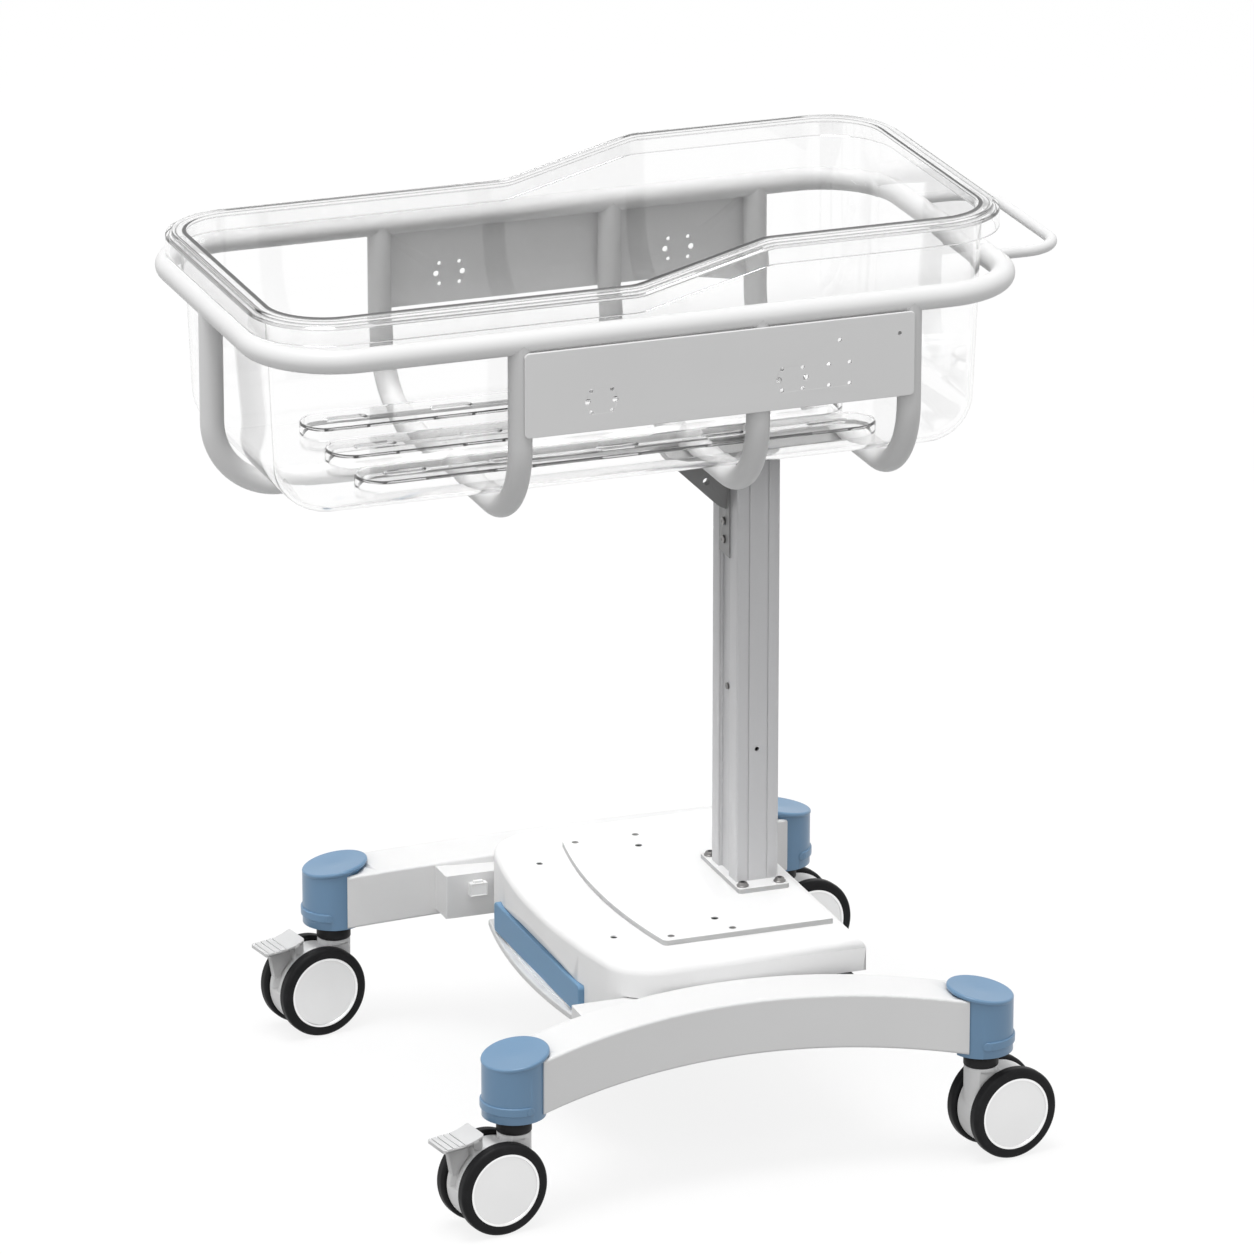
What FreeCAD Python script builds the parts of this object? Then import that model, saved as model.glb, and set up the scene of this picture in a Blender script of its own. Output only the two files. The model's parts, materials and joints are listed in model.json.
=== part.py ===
"""Hospital bassinet: clear lift-out tray in a tubular cradle on a column and a four-caster base.

Millimetres, +Z up, floor at Z = 0. X runs along the bassinet from the foot end (-X, braked
casters) to the head end (+X, push handle); -Y is the near side. The model is laid out about
the column's axis (X = 0) and moved by SHIFT_X when it is exported, so that the exported
origin is the middle of the footprint.
"""
import FreeCAD
import Part
import math
import os
from FreeCAD import Vector

os.makedirs("parts", exist_ok=True)

# ---------------------------------------------------------------- fits
TOUCH_GAP = 0.3        # between the lift-out tray and what it stands on, and other loose pairs
RUN_FIT = 0.05         # radial clearance of a pin that turns in its bore
SLIP_FIT = 0.05        # radial clearance of a stem pushed into its socket

# ---------------------------------------------------------------- cradle tubing
TUBE_D = 25.0
TUBE_WALL = 2.0
RAIL_Z = 927.0         # centre height of the ring rail
RAIL_FOOT_X = -587.5   # centre line of the ring's foot end bar
RAIL_HEAD_X = 225.5    # centre line of the ring's head end bar
RAIL_HALF_Y = 221.0    # centre line of the ring's long bars
RAIL_CORNER_R = 88.0
HOOP_DROP = 196.0      # ring centre down to the hoops' lowest centre line
HOOP_BEND_R = 86.0
HOOP_FOOT_X = -331.0
HOOP_MIDDLE_X = -73.0
HOOP_HEAD_X = 93.0
SPINE_BEND_R = 74.0
HANDLE_D = 12.0
HANDLE_HALF_Y = 107.0
HANDLE_REACH = 86.5    # ring's head end bar centre to the handle's end bar centre
HANDLE_BEND_R = 42.0

# ---------------------------------------------------------------- side panels
PANEL_T = 2.5
PANEL_TOP_DROP = 8.0   # below the ring's centre
PANEL_H = 90.0
PANEL_CORNER_R = 5.0
HOLE_PITCH = 22.5      # accessory holes, a square of four
HOLE_R = 2.25
KEY_HOLE_R = 3.25      # larger pair beside each square
KEY_HOLE_SPAN = 29.5
HOLE_ROW_DROP = 66.0   # rows of holes below the rail's centre
FOOT_GROUP_X = -248.5
MIDDLE_GROUP_X = -41.5
HEAD_GROUP_X = 10.0
TOP_HOLE_DROP = 30.0
TOP_HOLES_X = (10.2, 76.2)

# ---------------------------------------------------------------- tray
TRAY_WALL = 4.0
TRAY_DEPTH = 222.0     # outside of the floor to the low rim
RIM_RISE = 36.0        # the head end rim is this much higher
RIM_START_X = -203.0   # where the rim starts to climb
RIM_END_X = -48.0
RIM_FOOT_X = -590.0    # outermost edge of the rim
RIM_HEAD_X = 222.0
RIM_HALF_Y = 213.0
RIM_CORNER_R = 82.0
RIM_T = 3.5
RIM_LIP_H = 25.0
RIM_STEP_W = 7.0       # outer ledge of the stepped rim
RIM_STEP_H = 4.0
RIM_FLANGE_W = 18.0    # rim edge to the outside of the wall at the top
RIM_FLANGE_HEAD_W = 15.0
TRAY_SIDE_DRAFT = 9.0  # the walls lean in this much from rim to floor
TRAY_FOOT_DRAFT = 7.0
TRAY_HEAD_DRAFT = 4.0
TRAY_CORNER_R = 62.0
TRAY_FLOOR_R = 52.0
RIB_FOOT_X = -465.0    # raised floor ribs that keep the mattress off the floor
RIB_HEAD_X = 105.0
RIB_W = 60.0
RIB_H = 13.0
RIB_PITCH = 94.0
RIB_COUNT = 3
SLOT_L = 46.0          # air slots along the top of each rib
SLOT_W = 16.0
SLOT_PITCH = 116.0
SLOT_COUNT = 5

# ---------------------------------------------------------------- column
COLUMN_X = 48.0
COLUMN_Y = 74.0
COLUMN_WALL = 3.0
COLUMN_CORNER_R = 2.5
CHANNEL_W = 31.0       # accessory channel down the two narrow faces
CHANNEL_DEPTH = 4.5
FLUTE_X = 10.7         # shallow flutes on the wide faces
FLUTE_W = 1.4
FLUTE_DEPTH = 0.9
FRONT_HOLE_R = 2.5
FRONT_HOLE_UP = 148.0  # above the flange
CHANNEL_SCREW_UP = 209.0
CHANNEL_SCREW_R = 2.1
PAN_HEAD_R = 3.6
PAN_HEAD_H = 2.2
CROSS_W = 0.8
FLANGE_X = 58.0
FLANGE_Y = 118.0
FLANGE_T = 5.0
BOLT_X = 21.0
BOLT_Y = 49.0
BOLT_R = 3.0
BOLT_HEAD_R = 5.2
BOLT_HEAD_H = 3.3
WASHER_R = 6.5
WASHER_T = 1.2
CRADLE_PLATE_T = 6.0
CRADLE_PLATE_FOOT = -104.0
CRADLE_PLATE_HEAD = 112.0
CRADLE_PLATE_HALF_Y = 50.0
GUSSET_REACH = 98.0
GUSSET_TOE_Z = 62.0    # depth of the gusset's toe below the cradle plate
GUSSET_T = 10.0
GUSSET_HOLE_R = 4.0
STRIP_L = 118.0
STRIP_FIT = 0.2
STRIP_SCREWS = (81.5, 101.5)    # below the cradle plate

# ---------------------------------------------------------------- base
STEM_FOOT_X = -366.0
STEM_HEAD_X = 154.0
STEM_HALF_Y = 292.0
BEAM_Z = 120.0         # underside of the beams at the casters
BEAM_H = 60.0
BEAM_W = 64.0
BEAM_BOW = 43.0        # the beams bend in towards each other
BEAM_RISE = 23.0       # and arch upwards
BEAM_WALL = 4.0
BEAM_EDGE_R = 3.0
BEAM_TIP = 15.0        # the beam's sides reach round the cap to here from the stem axis
CAP_R = 33.5
CAP_WALL = 3.0
CAP_LOW = 59.0         # height of the outer side of the slanting top
CAP_TILT = 11.0        # degrees
CAP_LIP = 2.6
CAP_LIP_T = 5.0
CAP_BAND_LOW = 9.0
CAP_BAND_H = 9.5
CAP_BAND_T = 2.0
CAP_DISH_R = 33.0      # shallow dish in the slanting top
CAP_DISH_DEPTH = 1.8
CAP_DISH_TIP_R = 4.0
SOCKET_R = 20.0
SOCKET_H = 46.0
TONGUE_W = 40.0        # web from the socket into the beam, above the beam's underside
TONGUE_RISE = 12.0
COVER_TOP = 226.0
COVER_T = 4.0
PAD_RISE = 6.0
COVER_HEAD_X = 54.0
COVER_GAP = 2.0         # cover's side to the beam
COVER_FOOT_X = -240.0
COVER_FOOT_R = 850.0
COVER_CORNER_R = 52.0
COVER_EDGE_R = 10.0
SKIRT_LOW = 146.0      # underside of the foot end skirt
SIDE_LOW = 192.5       # underside of the cover's side walls
PAD_FOOT_X = -166.0
PAD_FOOT_R = 800.0
PAD_INSET = 57.0       # pad's side inboard of the cover's
PAD_HEAD_X = 39.0
SILL_H = 8.0
SILL_PROUD = 7.0
SILL_INSET = 43.0      # sill's ends inboard of the cover's side
BUMPER_HALF_Y = 130.0
BUMPER_LOW = 151.0
BUMPER_H = 36.0
BUMPER_PROUD = 3.0
BLOCK_FOOT_X = -269.0
BLOCK_INSET = 17.0      # block's inner face inboard of the cover's side
BLOCK_LOW = 142.0
BLOCK_H = 49.0
BLOCK_HEAD_X = -174.0
CATCH_X = -233.5
CATCH_W = 19.0
CATCH_H = 14.0
CATCH_T = 6.0
CATCH_Z = 174.0
DECK_T = 6.0
DECK_FOOT_X = -150.0
DECK_INSET = 3.0        # deck's edge inboard of the pad's
RAIL_BOX_Z = 146.0     # underside of the chassis rails
RAIL_BOX_H = 44.0
FOOT_RAIL_X = (-202.0, -168.0)
HEAD_RAIL_X = (0.0, 40.0)
LONG_RAIL_Y = (45.0, 95.0)
BIG_HOLE_R = 4.0
BIG_HOLES_X = (-191.0, -78.0)
BIG_HOLE_INSET = 43.0  # inboard of the pad's side
SMALL_HOLES_X = (-139.0, -70.0)
SMALL_HOLE_INSET = 11.0
SCREW_R = 1.9
SCREW_HEAD_R = 3.6

# ---------------------------------------------------------------- casters
WHEEL_D = 100.0
WHEEL_W = 14.0
TYRE_T = 10.5
TYRE_SHOULDER_R = 4.0
HUB_TIP_R = 2.5        # small flat in the middle of the hub's shallow cone
WHEEL_GAP = 1.0        # housing cheek to wheel
HOUSING_W = 30.0
HOUSING_R = 45.5
HOUSING_CUT_Z = 12.0
TRAIL = 26.0
BOSS_R = 18.0
BOSS_T = 5.0
COLLAR_R = 18.6
COLLAR_H = 17.7
STEM_R = 5.5
STEM_UP = 40.0
KING_R = 6.0
KING_DOWN = 40.0
AXLE_R = 4.0
AXLE_IN_HUB = 9.0
SWIVEL_REST = 9.0      # degrees the casters stand turned from straight
PEDAL_ROOT = (44.8, 112.3)     # from the stem axis along the trail, and height
PEDAL_KNEE = (63.6, 105.4)
PEDAL_TIP = (91.5, 103.0)
PEDAL_W = 37.0
PEDAL_T = 3.6
PEDAL_GROOVES = 4
PEDAL_GROOVE_PITCH = 6.9
PEDAL_GROOVE_W = 1.5
PEDAL_WEB_T = 9.0      # the web under the plate dips into a slot in the drum
PEDAL_WEB = ((56.0, 85.0), (71.5, 67.0), (74.0, 67.5), (80.0, 101.0), (56.0, 104.0))
PEDAL_SLOT_R = 37.5
PEDAL_PIN_S = 47.0
PEDAL_PIN_Z = 96.5
PEDAL_PIN_R = 2.4
PEDAL_EAR_T = 3.5
EYE_R = 5.0            # round the pedal's pin, on the lug and on the ears
LUG_HALF = 6.0

# ---------------------------------------------------------------- what follows from them
TUBE_R = TUBE_D / 2
CRADLE_Z = RAIL_Z - HOOP_DROP
TRAY_Z = CRADLE_Z + TUBE_R + TOUCH_GAP
RIM_LOW_Z = TRAY_Z + TRAY_DEPTH
RIM_HIGH_Z = RIM_LOW_Z + RIM_RISE
PLATE_TOP = CRADLE_Z - TUBE_R
COLUMN_TOP = PLATE_TOP - CRADLE_PLATE_T
PAD_TOP = COVER_TOP + PAD_RISE
FLANGE_TOP = PAD_TOP + FLANGE_T
DECK_TOP = COVER_TOP - COVER_T
WHEEL_R = WHEEL_D / 2
HUB_R = WHEEL_R - TYRE_T
WHEEL_IN = HOUSING_W / 2 + WHEEL_GAP
WHEEL_OUT = WHEEL_IN + WHEEL_W
COVER_HALF_Y = STEM_HALF_Y - BEAM_BOW - BEAM_W / 2 - COVER_GAP
PAD_HALF_Y = COVER_HALF_Y - PAD_INSET
SILL_HALF_Y = COVER_HALF_Y - SILL_INSET
BLOCK_INNER_Y = COVER_HALF_Y - BLOCK_INSET
DECK_HALF_Y = PAD_HALF_Y - DECK_INSET
BIG_HOLES = [(x, PAD_HALF_Y - BIG_HOLE_INSET) for x in BIG_HOLES_X]
SMALL_HOLES = [(x, PAD_HALF_Y - SMALL_HOLE_INSET) for x in SMALL_HOLES_X]
BEAM_MID_X = (STEM_FOOT_X + STEM_HEAD_X) / 2
BEAM_HALF_CHORD = (STEM_HEAD_X - STEM_FOOT_X) / 2
BEAM_PLAN_R = (BEAM_HALF_CHORD ** 2 + BEAM_BOW ** 2) / (2 * BEAM_BOW)
BEAM_PLAN_Y = STEM_HALF_Y - BEAM_BOW + BEAM_PLAN_R
BEAM_TOE_IN = math.degrees(math.asin(BEAM_HALF_CHORD / BEAM_PLAN_R))
HANDLE_END_X = RAIL_HEAD_X + HANDLE_REACH
SHIFT_X = -(RAIL_FOOT_X - TUBE_R + HANDLE_END_X + HANDLE_D / 2) / 2

Z_AXIS = Vector(0, 0, 1)
ORIGIN = Vector(0, 0, 0)


# ================================================================ helpers
def box(x0, x1, y0, y1, z0, z1):
    return Part.makeBox(x1 - x0, y1 - y0, z1 - z0, Vector(x0, y0, z0))


def rod(start, end, radius):
    line = end - start
    return Part.makeCylinder(radius, line.Length, start, line)


def fuse(shapes):
    """One clean solid from shapes that touch or overlap."""
    shapes = list(shapes)
    return shapes[0].multiFuse(shapes[1:]).removeSplitter() if len(shapes) > 1 else shapes[0]


def bent_rod(points, bend_r, radius, closed=False, bore=0):
    """Round bar, or tube, along a polyline whose corners are bent to bend_r."""
    count = len(points)
    corners = range(count) if closed else range(1, count - 1)
    leave, arrive, pieces = {}, {}, []
    for i in corners:
        before, here, after = points[i - 1], points[i], points[(i + 1) % count]
        d1 = (here - before).normalize()
        d2 = (after - here).normalize()
        turn = d1.getAngle(d2)
        back = bend_r * math.tan(turn / 2)
        arrive[i] = here - d1 * back
        leave[i] = here + d2 * back
        centre = here + (d2 - d1).normalize() * (bend_r / math.cos(turn / 2))
        rings = [Part.Wire(Part.makeCircle(r, arrive[i], d1)) for r in (radius, bore) if r]
        section = Part.Face(rings[0])
        if bore:
            section = section.cut(Part.Face(rings[1])).Faces[0]
        pieces.append(section.revolve(centre, d1.cross(d2), math.degrees(turn)))
    for i in range(count if closed else count - 1):
        j = (i + 1) % count
        start, end = leave.get(i, points[i]), arrive.get(j, points[j])
        if (end - start).Length > 0.01:
            straight = rod(start, end, radius)
            pieces.append(straight.cut(rod(start, end, bore)) if bore else straight)
    return fuse(pieces)


def tube(points, bend_r, radius, closed=False):
    return bent_rod(points, bend_r, radius, closed, radius - TUBE_WALL)


def rounded_plate(x0, x1, y0, y1, z0, z1, radius):
    """Flat plate in the XY plane with rounded corners."""
    plate = box(x0, x1, y0, y1, z0, z1)
    return plate.makeFillet(radius, edges_along(plate, Z_AXIS))


def edges_along(shape, axis, at=None):
    """Straight edges parallel to axis, if wanted only those whose middle passes at()."""
    found = []
    for edge in shape.Edges:
        if not isinstance(edge.Curve, Part.Line):
            continue
        run = edge.Vertexes[-1].Point - edge.Vertexes[0].Point
        if run.Length > 0.01 and run.cross(axis).Length < 1e-4 * run.Length:
            if at is None or at(edge.CenterOfMass):
                found.append(edge)
    return found


def edges_at_z(shape, z):
    return [e for e in shape.Edges
            if abs(e.BoundBox.ZMin - z) < 0.02 and abs(e.BoundBox.ZMax - z) < 0.02]


def rounded_outline(x0, x1, half_y, radius, z):
    """Closed wire: a rectangle with arc corners."""
    k = radius * (1 - math.sqrt(0.5))
    corners = []
    for sx, sy in ((1, 1), (-1, 1), (-1, -1), (1, -1)):
        x = x1 if sx > 0 else x0
        on_side = Vector(x, sy * (half_y - radius), z)
        mid = Vector(x - sx * k, sy * (half_y - k), z)
        on_end = Vector(x - sx * radius, sy * half_y, z)
        corners.append((on_side, mid, on_end) if sx * sy > 0 else (on_end, mid, on_side))
    edges = []
    for i, (a, m, b) in enumerate(corners):
        edges.append(Part.Arc(a, m, b).toShape())
        edges.append(Part.makeLine(b, corners[(i + 1) % 4][0]))
    return Part.Wire(edges)


def prism(wire, height):
    return Part.Face(wire).extrude(Vector(0, 0, height))


def obround(x, y, length, width, z0, z1):
    r = width / 2
    a, b = x - length / 2 + r, x + length / 2 - r
    edges = [Part.makeLine(Vector(a, y - r, z0), Vector(b, y - r, z0)),
             Part.Arc(Vector(b, y - r, z0), Vector(b + r, y, z0), Vector(b, y + r, z0)).toShape(),
             Part.makeLine(Vector(b, y + r, z0), Vector(a, y + r, z0)),
             Part.Arc(Vector(a, y + r, z0), Vector(a - r, y, z0), Vector(a, y - r, z0)).toShape()]
    return prism(Part.Wire(edges), z1 - z0)


def xz_prism(points, y0, y1):
    wire = Part.makePolygon([Vector(x, y0, z) for x, z in points + points[:1]])
    return Part.Face(wire).extrude(Vector(0, y1 - y0, 0))


def mirror_y(shape):
    return shape.mirror(ORIGIN, Vector(0, 1, 0))


def put(shape, name):
    """Check one sub-part and write it."""
    placed = shape.copy()
    placed.translate(Vector(SHIFT_X, 0, 0))
    if not placed.isValid():
        raise ValueError(name + " is not a valid shape")
    print(name, len(placed.Solids), "solid(s)", round(placed.Volume / 1000, 1), "cm3")
    placed.exportStep("parts/" + name + ".step")


# ================================================================ cradle
def ring_points():
    return [Vector(RAIL_HEAD_X, RAIL_HALF_Y, RAIL_Z), Vector(RAIL_FOOT_X, RAIL_HALF_Y, RAIL_Z),
            Vector(RAIL_FOOT_X, -RAIL_HALF_Y, RAIL_Z), Vector(RAIL_HEAD_X, -RAIL_HALF_Y, RAIL_Z)]


def hoop_points(x):
    return [Vector(x, -RAIL_HALF_Y, RAIL_Z), Vector(x, -RAIL_HALF_Y, CRADLE_Z),
            Vector(x, RAIL_HALF_Y, CRADLE_Z), Vector(x, RAIL_HALF_Y, RAIL_Z)]


def cope(bar, point, run):
    """Saddle the end of a bar to the straight tube that passes through point along run."""
    reach = run * (2 * TUBE_D)
    return bar.cut(rod(point - reach, point + reach, TUBE_R))


def make_hoop(x):
    hoop = tube(hoop_points(x), HOOP_BEND_R, TUBE_R)
    for side in (-1, 1):
        hoop = cope(hoop, Vector(x, side * RAIL_HALF_Y, RAIL_Z), Vector(1, 0, 0))
    return hoop


def make_spine_foot():
    corner = Vector(RAIL_FOOT_X, 0, CRADLE_Z)
    top, end = Vector(RAIL_FOOT_X, 0, RAIL_Z), Vector(HOOP_FOOT_X, 0, CRADLE_Z)
    bar = tube([top, corner, end], SPINE_BEND_R, TUBE_R)
    return cope(cope(bar, top, Vector(0, 1, 0)), end, Vector(0, 1, 0))


def make_spine(x0, x1):
    ends = [Vector(x0, 0, CRADLE_Z), Vector(x1, 0, CRADLE_Z)]
    bar = tube(ends, 0, TUBE_R)
    return cope(cope(bar, ends[0], Vector(0, 1, 0)), ends[1], Vector(0, 1, 0))


def make_handle():
    points = [Vector(RAIL_HEAD_X, -HANDLE_HALF_Y, RAIL_Z), Vector(HANDLE_END_X, -HANDLE_HALF_Y, RAIL_Z),
              Vector(HANDLE_END_X, HANDLE_HALF_Y, RAIL_Z), Vector(RAIL_HEAD_X, HANDLE_HALF_Y, RAIL_Z)]
    bar = bent_rod(points, HANDLE_BEND_R, HANDLE_D / 2)
    return cope(cope(bar, points[0], Vector(0, 1, 0)), points[3], Vector(0, 1, 0))


def make_panel(keyed_groups, plain_groups, top_holes):
    """Near side panel; the far one is this mirrored, with its own holes."""
    inner_y = -(RAIL_HALF_Y + TUBE_R)
    top = RAIL_Z - PANEL_TOP_DROP
    panel = box(HOOP_FOOT_X, HOOP_HEAD_X, inner_y - PANEL_T, inner_y, top - PANEL_H, top)
    panel = panel.makeFillet(PANEL_CORNER_R, edges_along(panel, Vector(0, 1, 0)))
    rim = [e for e in panel.Edges if abs(e.CenterOfMass.y - (inner_y - PANEL_T)) < 0.01]
    panel = panel.makeFillet(PANEL_T * 0.4, rim)
    row, holes = RAIL_Z - HOLE_ROW_DROP, []
    for x in keyed_groups + plain_groups:
        holes += [(x + sx * HOLE_PITCH / 2, row + sz * HOLE_PITCH / 2, HOLE_R)
                  for sx in (-1, 1) for sz in (-1, 1)]
    holes += [(x + s * KEY_HOLE_SPAN / 2, row, KEY_HOLE_R) for x in keyed_groups for s in (-1, 1)]
    holes += [(x, RAIL_Z - TOP_HOLE_DROP, HOLE_R) for x in top_holes]
    for x, z, r in holes:
        panel = panel.cut(rod(Vector(x, inner_y - 2 * PANEL_T, z), Vector(x, inner_y + PANEL_T, z), r))
    return panel


def make_cradle_plate():
    return rounded_plate(CRADLE_PLATE_FOOT, CRADLE_PLATE_HEAD, -CRADLE_PLATE_HALF_Y, CRADLE_PLATE_HALF_Y,
                         COLUMN_TOP, PLATE_TOP, 10)


# ================================================================ tray
def rim_profile(drop, far_z):
    """Band in the XZ plane under the rim line lowered by drop, down to far_z below it."""
    run, rise = RIM_END_X - RIM_START_X, RIM_RISE
    r = (run ** 2 + rise ** 2) / (4 * rise)
    half = math.atan2(rise, run)
    low, high = RIM_LOW_Z - drop, RIM_HIGH_Z - drop
    y0 = -RIM_HALF_Y - 10

    def point(x, z):
        return Vector(x, y0, z)

    middle = point((RIM_START_X + RIM_END_X) / 2, (low + high) / 2)
    rise_arc = Part.Arc(point(RIM_START_X, low),
                        point(RIM_START_X + r * math.sin(half), low + r * (1 - math.cos(half))), middle)
    settle_arc = Part.Arc(middle, point(RIM_END_X - r * math.sin(half), high - r * (1 - math.cos(half))),
                          point(RIM_END_X, high))
    x0, x1 = RIM_FOOT_X - 10, RIM_HEAD_X + 10
    edges = [Part.makeLine(point(x0, low), point(RIM_START_X, low)), rise_arc.toShape(),
             settle_arc.toShape(), Part.makeLine(point(RIM_END_X, high), point(x1, high))]
    if far_z is None:
        base0, base1 = TRAY_Z - 10, TRAY_Z - 10
        edges += [Part.makeLine(point(x1, high), point(x1, base1)),
                  Part.makeLine(point(x1, base1), point(x0, base0)),
                  Part.makeLine(point(x0, base0), point(x0, low))]
        return Part.Face(Part.Wire(edges)).extrude(Vector(0, 2 * RIM_HALF_Y + 20, 0))
    return rim_profile(drop, None).cut(rim_profile(drop + far_z, None))


def tray_bowl(inset, floor_z, corner_r, floor_r):
    """Tapered tub, wider at the rim, with a rounded floor edge."""
    top_z = RIM_HIGH_Z + 5
    lean = (top_z - floor_z) / (top_z - TRAY_Z)
    foot, head = RIM_FOOT_X + RIM_FLANGE_W + inset, RIM_HEAD_X - RIM_FLANGE_HEAD_W - inset
    half = RIM_HALF_Y - RIM_FLANGE_W - inset
    low = rounded_outline(foot + TRAY_FOOT_DRAFT * lean, head - TRAY_HEAD_DRAFT * lean,
                          half - TRAY_SIDE_DRAFT * lean, corner_r, floor_z)
    high = rounded_outline(foot, head, half, corner_r, top_z)
    bowl = Part.makeLoft([low, high], True, True)
    return bowl.makeFillet(floor_r, edges_at_z(bowl, floor_z))


def make_tray():
    outer = tray_bowl(0, TRAY_Z, TRAY_CORNER_R, TRAY_FLOOR_R)
    inner = tray_bowl(TRAY_WALL, TRAY_Z + TRAY_WALL, TRAY_CORNER_R - TRAY_WALL, TRAY_FLOOR_R - TRAY_WALL)
    under_rim = rim_profile(0, None)
    tub = outer.common(under_rim)

    def rim_block(inset):
        outline = rounded_outline(RIM_FOOT_X + inset, RIM_HEAD_X - inset, RIM_HALF_Y - inset,
                                  RIM_CORNER_R - inset, TRAY_Z)
        return prism(outline, RIM_HIGH_Z + 5 - TRAY_Z)

    rim = rim_block(0).common(rim_profile(0, RIM_LIP_H))
    rim = rim.cut(rim_block(RIM_T).common(rim_profile(RIM_STEP_H + RIM_T, None)))
    ledge = rim_block(-5).cut(rim_block(RIM_STEP_W))
    rim = rim.cut(ledge.cut(rim_profile(RIM_STEP_H, None)))
    lower = rim_block(RIM_STEP_W + RIM_T).common(rim_profile(RIM_T, None))
    rim = rim.cut(lower)
    tray = tub.fuse(rim).cut(inner)
    ribs, hollows = [], []
    middle_x, length = (RIB_FOOT_X + RIB_HEAD_X) / 2, RIB_HEAD_X - RIB_FOOT_X
    top = TRAY_Z + TRAY_WALL + RIB_H
    shrink = 2 * TRAY_WALL
    for j in range(RIB_COUNT):
        y = (j - (RIB_COUNT - 1) / 2) * RIB_PITCH
        ribs.append(obround(middle_x, y, length, RIB_W, TRAY_Z + 1, top))
        hollows.append(obround(middle_x, y, length - shrink, RIB_W - shrink, TRAY_Z - 1, top - TRAY_WALL))
        for i in range(SLOT_COUNT):
            x = middle_x + (i - (SLOT_COUNT - 1) / 2) * SLOT_PITCH
            hollows.append(obround(x, y, SLOT_L, SLOT_W, TRAY_Z - 1, top + 1))
    return tray.multiFuse(ribs).cut(Part.makeCompound(hollows)).removeSplitter()


# ================================================================ column
def make_column():
    hx, hy = COLUMN_X / 2, COLUMN_Y / 2
    low, high = FLANGE_TOP, COLUMN_TOP
    body = rounded_plate(-hx, hx, -hy, hy, low, high, COLUMN_CORNER_R)
    for side in (-1, 1):
        x = side * hx
        body = body.cut(box(min(x, x - side * CHANNEL_DEPTH), max(x, x - side * CHANNEL_DEPTH),
                            -CHANNEL_W / 2, CHANNEL_W / 2, low - 1, high + 1))
        for fx in (-FLUTE_X, FLUTE_X):
            y = side * hy
            body = body.cut(box(fx - FLUTE_W / 2, fx + FLUTE_W / 2, min(y, y - side * FLUTE_DEPTH),
                                max(y, y - side * FLUTE_DEPTH), low - 1, high + 1))
        wall = COLUMN_WALL
        core_y = (wall / 2, hy - wall)
        y0, y1 = sorted((side * core_y[0], side * core_y[1]))
        body = body.cut(rounded_plate(-hx + CHANNEL_DEPTH + wall, hx - CHANNEL_DEPTH - wall,
                                      y0, y1, low - 1, high + 1, 2))
    z = low + FRONT_HOLE_UP
    front = rod(Vector(-1, -hy - 1, z), Vector(-1, -hy + COLUMN_WALL + 1, z), FRONT_HOLE_R)
    z = low + CHANNEL_SCREW_UP
    channel = rod(Vector(-hx + CHANNEL_DEPTH - 1, 0, z), Vector(-hx + CHANNEL_DEPTH + COLUMN_WALL, 0, z),
                  CHANNEL_SCREW_R)
    return body.cut(front).cut(channel)


def make_column_screw():
    """Pan head screw in the foot side channel."""
    x, z = -COLUMN_X / 2 + CHANNEL_DEPTH, FLANGE_TOP + CHANNEL_SCREW_UP
    head = Part.makeCylinder(PAN_HEAD_R, PAN_HEAD_H, Vector(x, 0, z), Vector(-1, 0, 0))
    shank = Part.makeCylinder(CHANNEL_SCREW_R, COLUMN_WALL, Vector(x, 0, z), Vector(1, 0, 0))
    cross = box(x - PAN_HEAD_H - 0.1, x - PAN_HEAD_H / 2, -PAN_HEAD_R * 0.6, PAN_HEAD_R * 0.6,
                z - CROSS_W / 2, z + CROSS_W / 2)
    return head.fuse(shank).removeSplitter().cut(cross)


def make_flange():
    plate = rounded_plate(-FLANGE_X / 2, FLANGE_X / 2, -FLANGE_Y / 2, FLANGE_Y / 2, PAD_TOP, FLANGE_TOP, 4)
    for x, y in bolt_places():
        plate = plate.cut(Part.makeCylinder(BOLT_R + 0.2, FLANGE_T + 2, Vector(x, y, PAD_TOP - 1)))
    return plate


def bolt_places():
    return [(sx * BOLT_X, sy * BOLT_Y) for sx in (-1, 1) for sy in (-1, 1)]


def make_flange_bolt(x, y):
    """Button head socket screw on its washer."""
    washer = Part.makeCylinder(WASHER_R, WASHER_T, Vector(x, y, FLANGE_TOP))
    base = FLANGE_TOP + WASHER_T
    head = Part.makeCylinder(BOLT_HEAD_R, BOLT_HEAD_H, Vector(x, y, base))
    head = head.makeFillet(BOLT_HEAD_H * 0.6, edges_at_z(head, base + BOLT_HEAD_H))
    shank = Part.makeCylinder(BOLT_R, base - DECK_TOP + DECK_T, Vector(x, y, DECK_TOP - DECK_T))
    hexagon = Part.makePolygon([Vector(x + 2.3 * math.cos(math.radians(60 * i)),
                                       y + 2.3 * math.sin(math.radians(60 * i)), base + 1.4)
                                for i in range(7)])
    return fuse([washer, head, shank]).cut(prism(hexagon, 4))


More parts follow.
